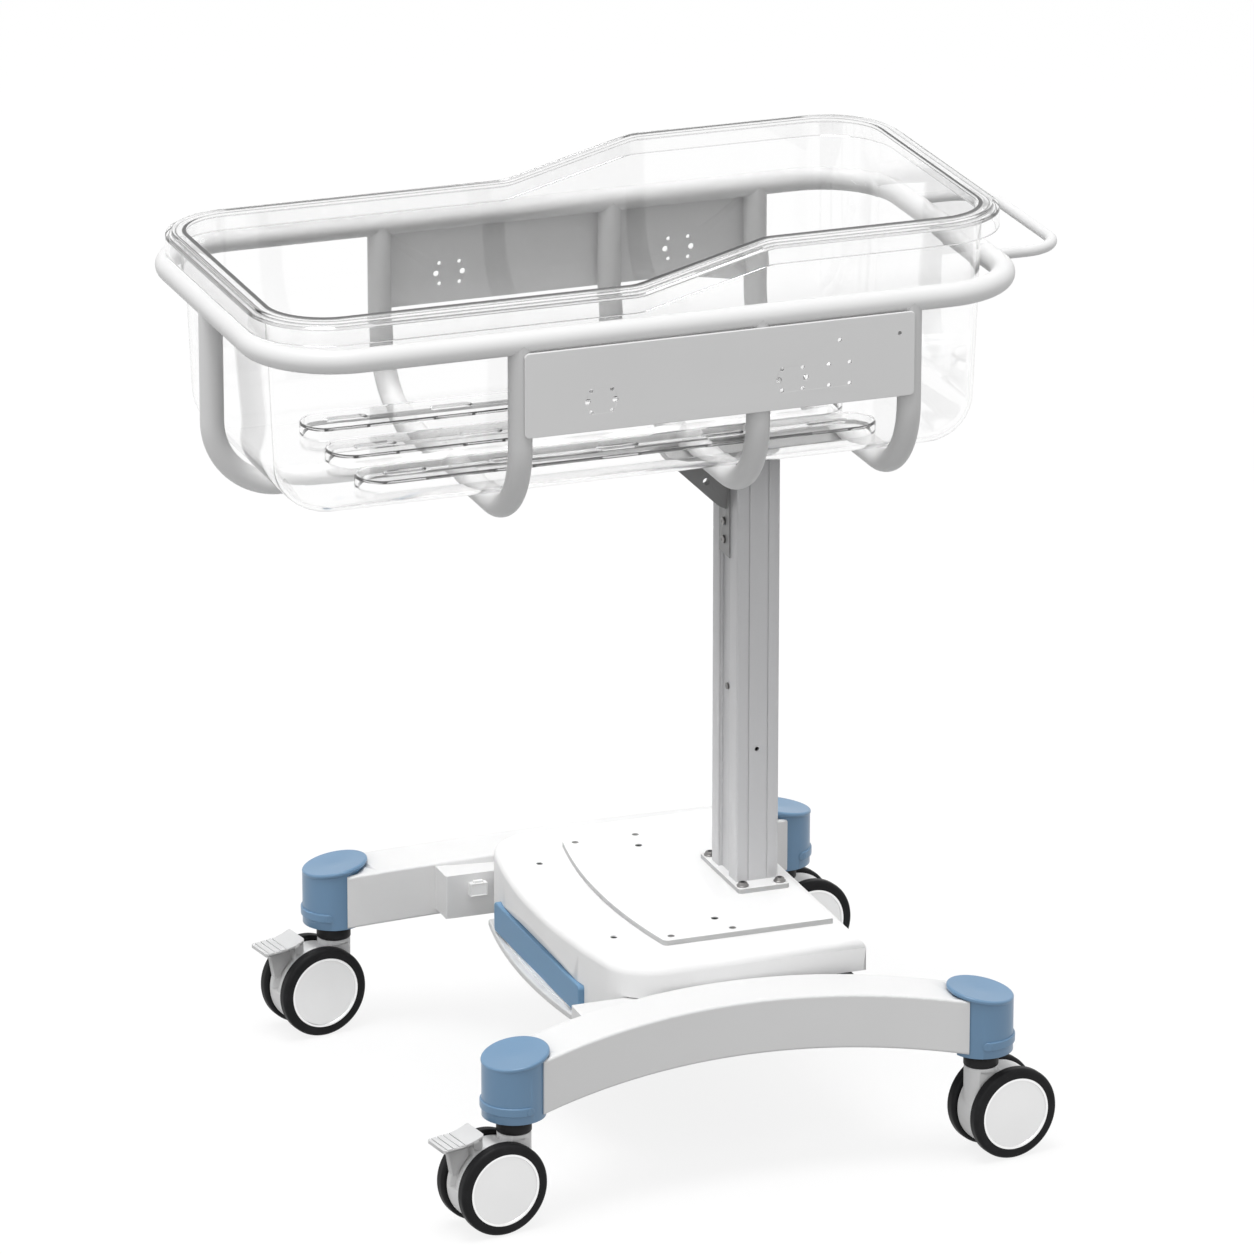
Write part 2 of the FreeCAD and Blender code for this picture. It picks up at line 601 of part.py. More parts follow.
def make_gusset():
    """Web under the cradle plate with a strip that lies in the column's channel."""
    face = -COLUMN_X / 2
    top = COLUMN_TOP
    web = xz_prism([(face + 1, top), (-GUSSET_REACH, top), (face - 10, top - GUSSET_TOE_Z),
                    (face + 1, top - GUSSET_TOE_Z - 6)], -GUSSET_T / 2, GUSSET_T / 2)
    strip = box(face - 1, face + CHANNEL_DEPTH, -CHANNEL_W / 2 + STRIP_FIT, CHANNEL_W / 2 - STRIP_FIT,
                top - STRIP_L, top)
    hole = rod(Vector(face - 23, -GUSSET_T, top - 34), Vector(face - 23, GUSSET_T, top - 34), GUSSET_HOLE_R)
    bracket = fuse([web, strip]).cut(hole)
    for down in STRIP_SCREWS:
        bracket = bracket.cut(rod(Vector(face - 3, 0, top - down), Vector(face + CHANNEL_DEPTH + 1, 0,
                                                                          top - down), 2.5))
    return bracket


def make_strip_screw(down):
    z = COLUMN_TOP - down
    face = -COLUMN_X / 2 - 1
    head = Part.makeCylinder(4.4, 2.6, Vector(face, 0, z), Vector(-1, 0, 0))
    head = head.makeFillet(1.2, [e for e in head.Edges if e.BoundBox.XMax < face - 2.5])
    shank = Part.makeCylinder(2.5, CHANNEL_DEPTH + 1, Vector(face, 0, z), Vector(1, 0, 0))
    socket = Part.makeCylinder(1.5, 1.6, Vector(face - 2.7, 0, z), Vector(1, 0, 0))
    return head.fuse(shank).removeSplitter().cut(socket)


# ================================================================ beams and their ends
def corner_frame(end, side):
    """Stem position and the direction, in degrees, in which the beam leaves it."""
    if end == "foot":
        return Vector(STEM_FOOT_X, side * STEM_HALF_Y, 0), -side * BEAM_TOE_IN
    return Vector(STEM_HEAD_X, side * STEM_HALF_Y, 0), 180 + side * BEAM_TOE_IN


def place(shape, end, side, angle=None):
    """Turn a shape modelled about a stem at the origin and move it to its corner."""
    spot, toe = corner_frame(end, side)
    moved = shape.copy()
    moved.rotate(ORIGIN, Z_AXIS, toe if angle is None else angle)
    moved.translate(spot)
    return moved


def plan_sector(inset, half_angle):
    """Curved strip in plan: the far beam's outline less inset all round."""
    width = BEAM_W / 2 - inset
    centre = Vector(BEAM_MID_X, BEAM_PLAN_Y, 0)

    def on(radius, degrees):
        a = math.radians(degrees)
        return centre + Vector(radius * math.sin(a), -radius * math.cos(a), 0)

    near, far = BEAM_PLAN_R + width, BEAM_PLAN_R - width
    edges = [Part.Arc(on(near, -half_angle), on(near, 0), on(near, half_angle)).toShape(),
             Part.makeLine(on(near, half_angle), on(far, half_angle)),
             Part.Arc(on(far, half_angle), on(far, 0), on(far, -half_angle)).toShape(),
             Part.makeLine(on(far, -half_angle), on(near, -half_angle))]
    return prism(Part.Wire(edges), 2 * (BEAM_Z + BEAM_H + BEAM_RISE))


def arch_band(low, high):
    """Arched strip in side view between two heights measured at the beam's ends."""
    reach = BEAM_HALF_CHORD + 40
    sag = BEAM_RISE * (reach / BEAM_HALF_CHORD) ** 2 - BEAM_RISE

    def arc(z, forward):
        ends = [Vector(BEAM_MID_X + s * reach, 0, z - sag) for s in (-1, 1)]
        if not forward:
            ends.reverse()
        return Part.Arc(ends[0], Vector(BEAM_MID_X, 0, z + BEAM_RISE), ends[1]).toShape(), ends

    upper, (a, b) = arc(high, True)
    lower, (c, d) = arc(low, False)
    wire = Part.Wire([upper, Part.makeLine(b, c), lower, Part.makeLine(d, a)])
    return Part.Face(wire).extrude(Vector(0, 2 * STEM_HALF_Y, 0))


def make_beam():
    """Far beam with its two caster sockets."""
    reach = BEAM_TOE_IN - math.degrees(BEAM_TIP / BEAM_PLAN_R)
    shell = plan_sector(0, reach).common(arch_band(BEAM_Z, BEAM_Z + BEAM_H))
    long_edges = [e for e in shell.Edges if e.BoundBox.XLength > BEAM_HALF_CHORD]
    shell = shell.makeFillet(BEAM_EDGE_R, long_edges)
    inset_angle = BEAM_TOE_IN - math.degrees((CAP_R + 3 * BEAM_WALL) / BEAM_PLAN_R)
    hollow = plan_sector(BEAM_WALL, inset_angle).common(
        arch_band(BEAM_Z + BEAM_WALL, BEAM_Z + BEAM_H - BEAM_WALL))
    shell = shell.cut(hollow)
    for end in ("foot", "head"):
        shell = shell.cut(place(Part.makeCylinder(CAP_R, 3 * BEAM_H, Vector(0, 0, BEAM_Z - BEAM_H)), end, 1))
    sockets = []
    for end in ("foot", "head"):
        top = BEAM_Z + SOCKET_H
        tongue = box(0, CAP_R + BEAM_WALL, -TONGUE_W / 2, TONGUE_W / 2, BEAM_Z + TONGUE_RISE, top)
        boss = Part.makeCylinder(SOCKET_R, SOCKET_H, Vector(0, 0, BEAM_Z))
        bore = Part.makeCylinder(STEM_R + SLIP_FIT, STEM_UP + 2, Vector(0, 0, BEAM_Z - 1))
        sockets.append(place(fuse([tongue, boss]).cut(bore), end, 1))
    return fuse([shell] + sockets)


def make_cap():
    """Caster cap about a stem at the origin, with the beam leaving along +X."""
    tilt = CAP_TILT
    middle_z = BEAM_Z + CAP_LOW + CAP_R * math.tan(math.radians(tilt))
    body = Part.makeCylinder(CAP_R, 2 * CAP_LOW, Vector(0, 0, BEAM_Z))
    above = Part.makeBox(6 * CAP_R, 6 * CAP_R, 6 * CAP_R, Vector(-3 * CAP_R, -3 * CAP_R, 0))
    above.rotate(ORIGIN, Vector(0, 1, 0), -tilt)
    above.translate(Vector(0, 0, middle_z))
    body = body.cut(above)
    lip = Part.makeCylinder(CAP_R + CAP_LIP, CAP_LIP_T, Vector(1.5, 0, -CAP_LIP_T))
    lip = lip.makeFillet(CAP_LIP_T * 0.42, [e for e in lip.Edges if isinstance(e.Curve, Part.Circle)])
    lip.rotate(ORIGIN, Vector(0, 1, 0), -tilt)
    lip.translate(Vector(0, 0, middle_z + 1))
    band = Part.makeCylinder(CAP_R + CAP_BAND_T, CAP_BAND_H, Vector(0, 0, BEAM_Z + CAP_BAND_LOW))
    band = band.makeFillet(CAP_BAND_T * 0.7, [e for e in band.Edges if isinstance(e.Curve, Part.Circle)])
    end_r = CAP_BAND_H / 2
    band = band.cut(box(-end_r, 2 * CAP_R, -2 * CAP_R, 2 * CAP_R, BEAM_Z, BEAM_Z + CAP_LOW))
    ends = []
    for side in (-1, 1):
        reach = Vector(-end_r, side * (CAP_R + CAP_BAND_T - 0.6), BEAM_Z + CAP_BAND_LOW + end_r)
        ends.append(rod(Vector(-end_r, 0, reach.z), reach, end_r))
    steep = CAP_DISH_DEPTH / (CAP_DISH_R - CAP_DISH_TIP_R)
    dish = Part.makeCone(CAP_DISH_TIP_R, CAP_DISH_R + CAP_DISH_TIP_R, CAP_DISH_R * steep,
                         Vector(1.5, 0, -CAP_DISH_DEPTH))
    dish.rotate(ORIGIN, Vector(0, 1, 0), -tilt)
    dish.translate(Vector(0, 0, middle_z + 1))
    cap = fuse([body, lip, band] + ends).cut(dish)
    inside = Part.makeCylinder(CAP_R - CAP_WALL, SOCKET_H + 1, Vector(0, 0, BEAM_Z - 1))
    half = TONGUE_W / 2 + TOUCH_GAP
    slot = box(0, CAP_R + 5, -half, half, BEAM_Z - 1, BEAM_Z + SOCKET_H)
    return cap.cut(inside).cut(slot)


# ================================================================ base
def foot_arc_outline(foot_x, foot_r, head_x, half_y, corner_r, z):
    """D-shaped outline: straight head end and sides, a shallow arc at the foot end."""
    arc_centre = foot_x + foot_r
    inner_y = half_y - corner_r
    corner_x = arc_centre - math.sqrt((foot_r - corner_r) ** 2 - inner_y ** 2)
    scale = foot_r / (foot_r - corner_r)
    meet = Vector(arc_centre + (corner_x - arc_centre) * scale, inner_y * scale, z)
    bis = Vector(corner_x - meet.x, inner_y - meet.y, 0).normalize() * -1
    knee = (bis + Vector(0, 1, 0)).normalize()
    knee_point = Vector(corner_x, inner_y, z) + knee * corner_r

    def low(v):
        return Vector(v.x, -v.y, v.z)

    side = Vector(corner_x, half_y, z)
    head = Vector(head_x, half_y, z)
    edges = [Part.makeLine(low(head), head), Part.makeLine(head, side),
             Part.Arc(side, knee_point, meet).toShape(),
             Part.Arc(meet, Vector(foot_x, 0, z), low(meet)).toShape(),
             Part.Arc(low(meet), low(knee_point), low(side)).toShape(),
             Part.makeLine(low(side), low(head))]
    return Part.Wire(edges)


def make_cover():
    """Moulded base cover: a shell with a raised pad for the column and a curved foot skirt."""
    outline = foot_arc_outline(COVER_FOOT_X, COVER_FOOT_R, COVER_HEAD_X, COVER_HALF_Y,
                               COVER_CORNER_R, SKIRT_LOW)
    block = prism(outline, COVER_TOP - SKIRT_LOW)
    block = block.makeFillet(COVER_EDGE_R, edges_at_z(block, COVER_TOP))
    pad = prism(foot_arc_outline(PAD_FOOT_X, PAD_FOOT_R, PAD_HEAD_X, PAD_HALF_Y, 6,
                                 COVER_TOP - 1), PAD_RISE + 1)
    pad = pad.makeFillet(1.5, edges_at_z(pad, PAD_TOP))
    inner = prism(foot_arc_outline(COVER_FOOT_X + COVER_T, COVER_FOOT_R - COVER_T, COVER_HEAD_X - COVER_T,
                                   COVER_HALF_Y - COVER_T, COVER_CORNER_R - COVER_T, SKIRT_LOW - 1),
                  DECK_TOP - SKIRT_LOW + 1)
    inner = inner.makeFillet(COVER_EDGE_R - COVER_T, edges_at_z(inner, DECK_TOP))
    cover = block.fuse(pad).removeSplitter().cut(inner)
    for side in (-1, 1):
        y0, y1 = sorted((side * (BLOCK_INNER_Y - 2), side * (COVER_HALF_Y + 5)))
        cover = cover.cut(box(COVER_FOOT_X - 5, COVER_HEAD_X - COVER_T, y0, y1, SKIRT_LOW - 1, SIDE_LOW))
    cover = cover.cut(box(COVER_HEAD_X - COVER_T - 1, COVER_HEAD_X + 1, -COVER_HALF_Y - 1,
                          COVER_HALF_Y + 1, SKIRT_LOW - 1, SIDE_LOW))
    cuts = [Part.makeCylinder(BOLT_R + 0.2, 40, Vector(x, y, DECK_TOP - 5)) for x, y in bolt_places()]
    for s in (-1, 1):
        cuts += [Part.makeCylinder(BIG_HOLE_R, 40, Vector(x, s * y, DECK_TOP - 5)) for x, y in BIG_HOLES]
        cuts += [Part.makeCylinder(SCREW_R + 0.2, 40, Vector(x, s * y, DECK_TOP - 5))
                 for x, y in SMALL_HOLES]
        cuts += [Part.makeCylinder(SCREW_HEAD_R + 0.3, 10, Vector(x, s * y, PAD_TOP - 2))
                 for x, y in SMALL_HOLES]
    return cover.cut(Part.makeCompound(cuts))


def make_cover_screw(x, y):
    head = Part.makeCylinder(SCREW_HEAD_R, 1.8, Vector(x, y, PAD_TOP - 2))
    shank = Part.makeCylinder(SCREW_R, PAD_TOP - 2 - DECK_TOP + DECK_T, Vector(x, y, DECK_TOP - DECK_T))
    cross = box(x - 2.2, x + 2.2, y - 0.4, y + 0.4, PAD_TOP - 1.2, PAD_TOP + 1)
    return head.fuse(shank).removeSplitter().cut(cross)


def make_chassis(beams):
    """Welded frame under the cover: cross rails, long rails and a deck for the column."""
    top = RAIL_BOX_Z + RAIL_BOX_H
    reach = STEM_HALF_Y
    pieces = [box(FOOT_RAIL_X[0], FOOT_RAIL_X[1], -BLOCK_INNER_Y, BLOCK_INNER_Y, RAIL_BOX_Z, top),
              box(HEAD_RAIL_X[0], HEAD_RAIL_X[1], -reach, reach, RAIL_BOX_Z, top),
              box(DECK_FOOT_X, HEAD_RAIL_X[1] + 3, -DECK_HALF_Y, DECK_HALF_Y, DECK_TOP - DECK_T, DECK_TOP)]
    for side in (-1, 1):
        y0, y1 = sorted((side * LONG_RAIL_Y[0], side * LONG_RAIL_Y[1]))
        pieces.append(box(FOOT_RAIL_X[0], HEAD_RAIL_X[1], y0, y1, RAIL_BOX_Z, top))
        pieces.append(box(DECK_FOOT_X + 5, HEAD_RAIL_X[1], y0, y1, top, DECK_TOP - DECK_T))
    frame = fuse(pieces)
    for beam in beams:
        frame = frame.cut(beam)
    frame = max(frame.Solids, key=lambda s: s.Volume)
    cuts = [Part.makeCylinder(BOLT_R, 20, Vector(x, y, DECK_TOP - DECK_T - 1)) for x, y in bolt_places()]
    for s in (-1, 1):
        cuts += [Part.makeCylinder(SCREW_R, 20, Vector(x, s * y, DECK_TOP - DECK_T - 1))
                 for x, y in SMALL_HOLES]
        cuts += [Part.makeCylinder(BIG_HOLE_R, 20, Vector(x, s * y, DECK_TOP - DECK_T - 1))
                 for x, y in BIG_HOLES]
    return frame.cut(Part.makeCompound(cuts))


def make_joint_block(beam):
    """Block that ties the far beam to the chassis."""
    block = box(BLOCK_FOOT_X, BLOCK_HEAD_X, BLOCK_INNER_Y, STEM_HALF_Y, BLOCK_LOW, BLOCK_LOW + BLOCK_H)
    block = block.cut(beam)
    block = min(block.Solids, key=lambda s: s.CenterOfMass.y)
    corner = edges_along(block, Z_AXIS, lambda c: abs(c.y - BLOCK_INNER_Y) < 0.1 and c.x < BLOCK_FOOT_X + 1)
    return block.makeFillet(2.0, corner)


def add_catch(block):
    """The far block carries a small cast catch on its inner face."""
    y = BLOCK_INNER_Y
    catch = box(CATCH_X - CATCH_W / 2, CATCH_X + CATCH_W / 2, y - CATCH_T, y,
                CATCH_Z - CATCH_H / 2, CATCH_Z + CATCH_H / 2)
    catch = catch.makeFillet(1.5, edges_along(catch, Z_AXIS, lambda c: c.y < y - 1))
    return fuse([block, catch])


def foot_wall(inset, z0, z1, half_y):
    """Slab behind the cover's foot arc moved out by -inset, cut to a width."""
    radius = COVER_FOOT_R - inset
    centre = Vector(COVER_FOOT_X + COVER_FOOT_R, 0, z0)
    disc = Part.makeCylinder(radius, z1 - z0, centre)
    return disc.common(box(COVER_FOOT_X - 60, COVER_FOOT_X + 60, -half_y, half_y, z0, z1))


def make_bumper():
    """Flat trim plate that stands across the curved foot skirt."""
    high = BUMPER_LOW + BUMPER_H
    front = COVER_FOOT_X - BUMPER_PROUD
    slab = box(front, COVER_FOOT_X + 30, -BUMPER_HALF_Y, BUMPER_HALF_Y, BUMPER_LOW, high)
    corner = [e for e in edges_along(slab, Vector(1, 0, 0))]
    slab = slab.makeFillet(5.0, corner)
    rim = [e for e in slab.Edges if abs(e.CenterOfMass.x - front) < 0.01]
    slab = slab.makeFillet(1.2, rim)
    plate = slab.cut(foot_wall(0, BUMPER_LOW - 1, high + 1, BUMPER_HALF_Y + 5))
    return max(plate.Solids, key=lambda s: -s.CenterOfMass.x)


def make_sill():
    """Rounded lip that runs along the bottom of the foot skirt."""
    z0, z1 = SKIRT_LOW - SILL_H, SKIRT_LOW
    lip = foot_wall(-SILL_PROUD, z0, z1, SILL_HALF_Y)
    lip = lip.cut(foot_wall(COVER_T, z0 - 1, z1 + 1, SILL_HALF_Y + 5))
    front = [e for e in lip.Edges if e.BoundBox.YLength > SILL_HALF_Y
             and e.BoundBox.XMin < COVER_FOOT_X - SILL_PROUD + 0.5]
    return lip.makeFillet(2.0, front)


# ================================================================ casters, about a stem at the origin
def wheel_axis(side_y, radius, y0, y1):
    """Cylinder on the wheel axis between two distances from the caster's middle plane."""
    a, b = Vector(TRAIL, side_y * y0, WHEEL_R), Vector(TRAIL, side_y * y1, WHEEL_R)
    return rod(a, b, radius)


def make_stem():
    """Collar with the spigot that goes up into the socket and the king pin below it."""
    low = BEAM_Z - COLLAR_H
    collar = Part.makeCylinder(COLLAR_R, COLLAR_H, Vector(0, 0, low))
    collar = collar.makeFillet(1.2, edges_at_z(collar, low))
    spigot = Part.makeCylinder(STEM_R, STEM_UP, Vector(0, 0, BEAM_Z))
    spigot = spigot.makeChamfer(1.0, edges_at_z(spigot, BEAM_Z + STEM_UP))
    king = Part.makeCylinder(KING_R, KING_DOWN, Vector(0, 0, low - KING_DOWN))
    return fuse([collar, spigot, king])


def make_housing(braked):
    """Drum between the twin wheels with the swivel boss, and a pedal lug if braked."""
    top = BEAM_Z - COLLAR_H - TOUCH_GAP
    half = HOUSING_W / 2
    drum = wheel_axis(1, HOUSING_R, -half, half)
    drum = drum.makeFillet(1.5, [e for e in drum.Edges if isinstance(e.Curve, Part.Circle)])
    drum = drum.cut(box(-HOUSING_R, 3 * HOUSING_R, -HOUSING_W, HOUSING_W, 0, HOUSING_CUT_Z))
    neck = Part.makeCylinder(BOSS_R, top - WHEEL_R, Vector(0, 0, WHEEL_R)).common(
        box(-BOSS_R, BOSS_R, -half, half, 0, 2 * top))
    boss = Part.makeCylinder(BOSS_R, BOSS_T, Vector(0, 0, top - BOSS_T))
    pieces = [drum, neck, boss]
    if braked:
        pin = Vector(PEDAL_PIN_S, 0, PEDAL_PIN_Z)
        eye = rod(pin - Vector(0, LUG_HALF, 0), pin + Vector(0, LUG_HALF, 0), EYE_R)
        root = box(PEDAL_PIN_S - EYE_R, PEDAL_PIN_S + EYE_R, -LUG_HALF, LUG_HALF, WHEEL_R + AXLE_R,
                   PEDAL_PIN_Z)
        pieces += [eye, root]
    housing = fuse(pieces)
    housing = housing.cut(Part.makeCylinder(KING_R + RUN_FIT, KING_DOWN + 1,
                                            Vector(0, 0, top - KING_DOWN)))
    housing = housing.cut(wheel_axis(1, AXLE_R, -half - 1, half + 1))
    if braked:
        housing = housing.cut(rod(pin - Vector(0, PEDAL_W, 0), pin + Vector(0, PEDAL_W, 0),
                                  PEDAL_PIN_R + RUN_FIT))
        slot = wheel_axis(1, 2 * HOUSING_R, -PEDAL_WEB_T / 2 - WHEEL_GAP, PEDAL_WEB_T / 2 + WHEEL_GAP)
        slot = slot.cut(wheel_axis(1, PEDAL_SLOT_R, -HOUSING_W, HOUSING_W))
        housing = housing.cut(slot.common(box(PEDAL_PIN_S + EYE_R + TOUCH_GAP, 3 * HOUSING_R, -HOUSING_W,
                                              HOUSING_W, WHEEL_R + WHEEL_GAP, PEDAL_PIN_Z + HOUSING_R)))
    return housing


def make_axle():
    end = WHEEL_IN + AXLE_IN_HUB - TOUCH_GAP
    return wheel_axis(1, AXLE_R, -end, end)


def revolve_wheel(profile, side):
    """Turn a profile of (radius, distance from the middle plane) about the wheel axis."""
    points = [Vector(TRAIL + r, side * w, WHEEL_R) for r, w in profile]
    face = Part.Face(Part.makePolygon(points + points[:1]))
    return face.revolve(Vector(TRAIL, 0, WHEEL_R), Vector(0, 1, 0), 360)


def make_hub(side):
    bore, rim = AXLE_R + RUN_FIT, HUB_R - 2.5
    deep = WHEEL_IN + AXLE_IN_HUB
    profile = [(bore, WHEEL_IN), (10, WHEEL_IN), (10, deep), (HUB_R - 5, deep), (HUB_R - 5, WHEEL_IN),
               (HUB_R, WHEEL_IN), (HUB_R, WHEEL_OUT - 0.8), (HUB_R - 0.8, WHEEL_OUT), (rim, WHEEL_OUT),
               (rim - 0.6, WHEEL_OUT - 1.2), (HUB_TIP_R, WHEEL_OUT + 0.6), (0.0, WHEEL_OUT + 0.6),
               (0.0, deep), (bore, deep)]
    return revolve_wheel(profile, side)


def make_tyre(side):
    outer = wheel_axis(side, WHEEL_R, WHEEL_IN, WHEEL_OUT)
    outer = outer.makeFillet(TYRE_SHOULDER_R, [e for e in outer.Edges if isinstance(e.Curve, Part.Circle)])
    return outer.cut(wheel_axis(side, HUB_R, WHEEL_IN - 1, WHEEL_OUT + 1))


def make_pedal():
    """Foot pedal with a grooved tip that curves up to its root, and two ears on a pin."""
    top = [Vector(x, 0, z) for x, z in (PEDAL_ROOT, PEDAL_KNEE, PEDAL_TIP)]
    down = Vector(0, 0, -PEDAL_T)
    middle = (top[0] + top[1]) * 0.5 + Vector(0, 0, -0.9)
    edges = [Part.Arc(top[0], middle, top[1]).toShape(), Part.makeLine(top[1], top[2]),
             Part.makeLine(top[2], top[2] + down), Part.makeLine(top[2] + down, top[1] + down),
             Part.Arc(top[1] + down, middle + down, top[0] + down).toShape(),
             Part.makeLine(top[0] + down, top[0])]
    plate = Part.Face(Part.Wire(edges)).extrude(Vector(0, PEDAL_W, 0))
    plate.translate(Vector(0, -PEDAL_W / 2, 0))
    corners = [e for e in plate.Edges if e.BoundBox.YLength < 0.1 and e.BoundBox.XLength < 0.1]
    plate = plate.makeFillet(2.5, corners)
    run = (top[1] - top[2]).normalize()
    for i in range(PEDAL_GROOVES):
        at = top[2] + run * (4.0 + PEDAL_GROOVE_PITCH * i)
        plate = plate.cut(box(at.x - PEDAL_GROOVE_W / 2, at.x + PEDAL_GROOVE_W / 2, -PEDAL_W, PEDAL_W,
                              at.z - 1.4, at.z + 5))
    web = xz_prism(PEDAL_WEB, -PEDAL_WEB_T / 2, PEDAL_WEB_T / 2)
    gap = LUG_HALF + TOUCH_GAP
    pin = Vector(PEDAL_PIN_S, 0, PEDAL_PIN_Z)
    ears = []
    for side in (-1, 1):
        a, b = pin + Vector(0, side * gap, 0), pin + Vector(0, side * (gap + PEDAL_EAR_T), 0)
        ears.append(rod(a, b, EYE_R))
        y0, y1 = sorted((a.y, b.y))
        ears.append(box(PEDAL_PIN_S - EYE_R, PEDAL_PIN_S + EYE_R, y0, y1, PEDAL_PIN_Z,
                        PEDAL_ROOT[1] - PEDAL_T))
    shaft = rod(pin - Vector(0, gap + PEDAL_EAR_T, 0), pin + Vector(0, gap + PEDAL_EAR_T, 0), PEDAL_PIN_R)
    return fuse([plate, shaft, web] + ears)


# ================================================================ build
put(tube(ring_points(), RAIL_CORNER_R, TUBE_R, closed=True), "ring_rail")
put(make_hoop(HOOP_FOOT_X), "hoop_foot")
put(make_hoop(HOOP_MIDDLE_X), "hoop_middle")
put(make_hoop(HOOP_HEAD_X), "hoop_head")
put(make_spine_foot(), "spine_foot")
put(make_spine(HOOP_FOOT_X, HOOP_MIDDLE_X), "spine_middle")
put(make_spine(HOOP_MIDDLE_X, HOOP_HEAD_X), "spine_head")
put(make_handle(), "push_handle")
put(make_panel([FOOT_GROUP_X, MIDDLE_GROUP_X], [HEAD_GROUP_X], TOP_HOLES_X), "side_panel_near")
put(mirror_y(make_panel([FOOT_GROUP_X, HEAD_GROUP_X], [], ())), "side_panel_far")
put(make_cradle_plate(), "cradle_plate")
put(make_tray(), "tray")

put(make_column(), "column_profile")
put(make_flange(), "column_flange")
put(Part.makeCompound([make_flange_bolt(x, y) for x, y in bolt_places()]), "flange_bolts")
put(make_gusset(), "gusset_bracket")
put(Part.makeCompound([make_strip_screw(d) for d in STRIP_SCREWS] + [make_column_screw()]),
    "channel_screws")

far_beam = make_beam()
near_beam = mirror_y(far_beam)
put(far_beam, "beam_far")
put(near_beam, "beam_near")
put(make_chassis([far_beam, near_beam]), "base_chassis")
far_block = make_joint_block(far_beam)
put(add_catch(far_block), "joint_block_far")
put(mirror_y(far_block), "joint_block_near")
put(make_cover(), "base_cover")
put(Part.makeCompound([make_cover_screw(x, s * y) for s in (-1, 1) for x, y in SMALL_HOLES]), "cover_screws")
put(make_bumper(), "foot_bumper")
put(make_sill(), "foot_sill")

cap = make_cap()
stem = make_stem()
axle = make_axle()
pedal = make_pedal()
for end in ("foot", "head"):
    housing = make_housing(end == "foot")
    turn = SWIVEL_REST + (180 if end == "foot" else 0)
    for side, label in ((-1, "near"), (1, "far")):
        name = "caster_" + end + "_" + label
        put(place(cap, end, side), "cap_" + end + "_" + label)
        put(place(stem, end, side, turn), name + "_stem")
        put(place(housing, end, side, turn), name + "_housing")
        put(place(axle, end, side, turn), name + "_axle")
        for wheel, letter in ((-1, "a"), (1, "b")):
            put(place(make_hub(wheel), end, side, turn), name + "_hub_" + letter)
            put(place(make_tyre(wheel), end, side, turn), name + "_tyre_" + letter)
        if end == "foot":
            put(place(pedal, end, side, turn), name + "_pedal")
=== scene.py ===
"""Finishes and fine pieces of the hospital bassinet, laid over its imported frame."""
import json
import math

import bpy
from bpy.props import FloatProperty, FloatVectorProperty, PointerProperty
from mathutils import Matrix, Vector


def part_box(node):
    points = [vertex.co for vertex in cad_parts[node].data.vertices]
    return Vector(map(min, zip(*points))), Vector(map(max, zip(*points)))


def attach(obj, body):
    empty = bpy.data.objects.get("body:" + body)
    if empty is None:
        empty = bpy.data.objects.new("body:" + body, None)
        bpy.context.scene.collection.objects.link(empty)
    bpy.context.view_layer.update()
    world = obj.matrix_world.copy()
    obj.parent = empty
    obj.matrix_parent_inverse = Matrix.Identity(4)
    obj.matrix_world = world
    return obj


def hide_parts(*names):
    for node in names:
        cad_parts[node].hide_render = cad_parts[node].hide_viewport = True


bl_info = {
    "name": "Hospital Bassinet",
    "version": (1, 0, 0),
    "blender": (4, 5, 0),
    "location": "3D View > Sidebar > Bassinet",
    "description": "Builds the finishes, trim and studio of a hospital bassinet on its frame",
    "category": "Object",
}

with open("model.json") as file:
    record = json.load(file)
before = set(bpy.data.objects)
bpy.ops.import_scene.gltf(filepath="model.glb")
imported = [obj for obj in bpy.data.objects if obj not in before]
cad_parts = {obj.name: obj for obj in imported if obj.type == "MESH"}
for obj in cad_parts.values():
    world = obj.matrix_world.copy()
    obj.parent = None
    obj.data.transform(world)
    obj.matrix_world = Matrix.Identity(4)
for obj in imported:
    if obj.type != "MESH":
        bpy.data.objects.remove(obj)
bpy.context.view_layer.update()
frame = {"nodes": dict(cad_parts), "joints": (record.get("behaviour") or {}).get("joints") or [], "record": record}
NODES = frame["nodes"]
BODIES = frame["record"]["behaviour"]["bodies"]
BODY_OF = {node: body for body, group in BODIES.items() for node in group}
SLOT_OF = {row["node"]: row["material_slot"] for row in frame["record"]["subparts"]}
TOUCH = 1e-5    # metres within which two places count as one


# ---------------------------------------------------------------- sizes and colours
def colour(name, description, default):
    return FloatVectorProperty(name=name, description=description, default=default, min=0.0, max=1.0,
                               size=3, subtype="COLOR")


def length(name, description, default):
    return FloatProperty(name=name, description=description, default=default, min=0.0,
                         subtype="DISTANCE", unit="LENGTH")


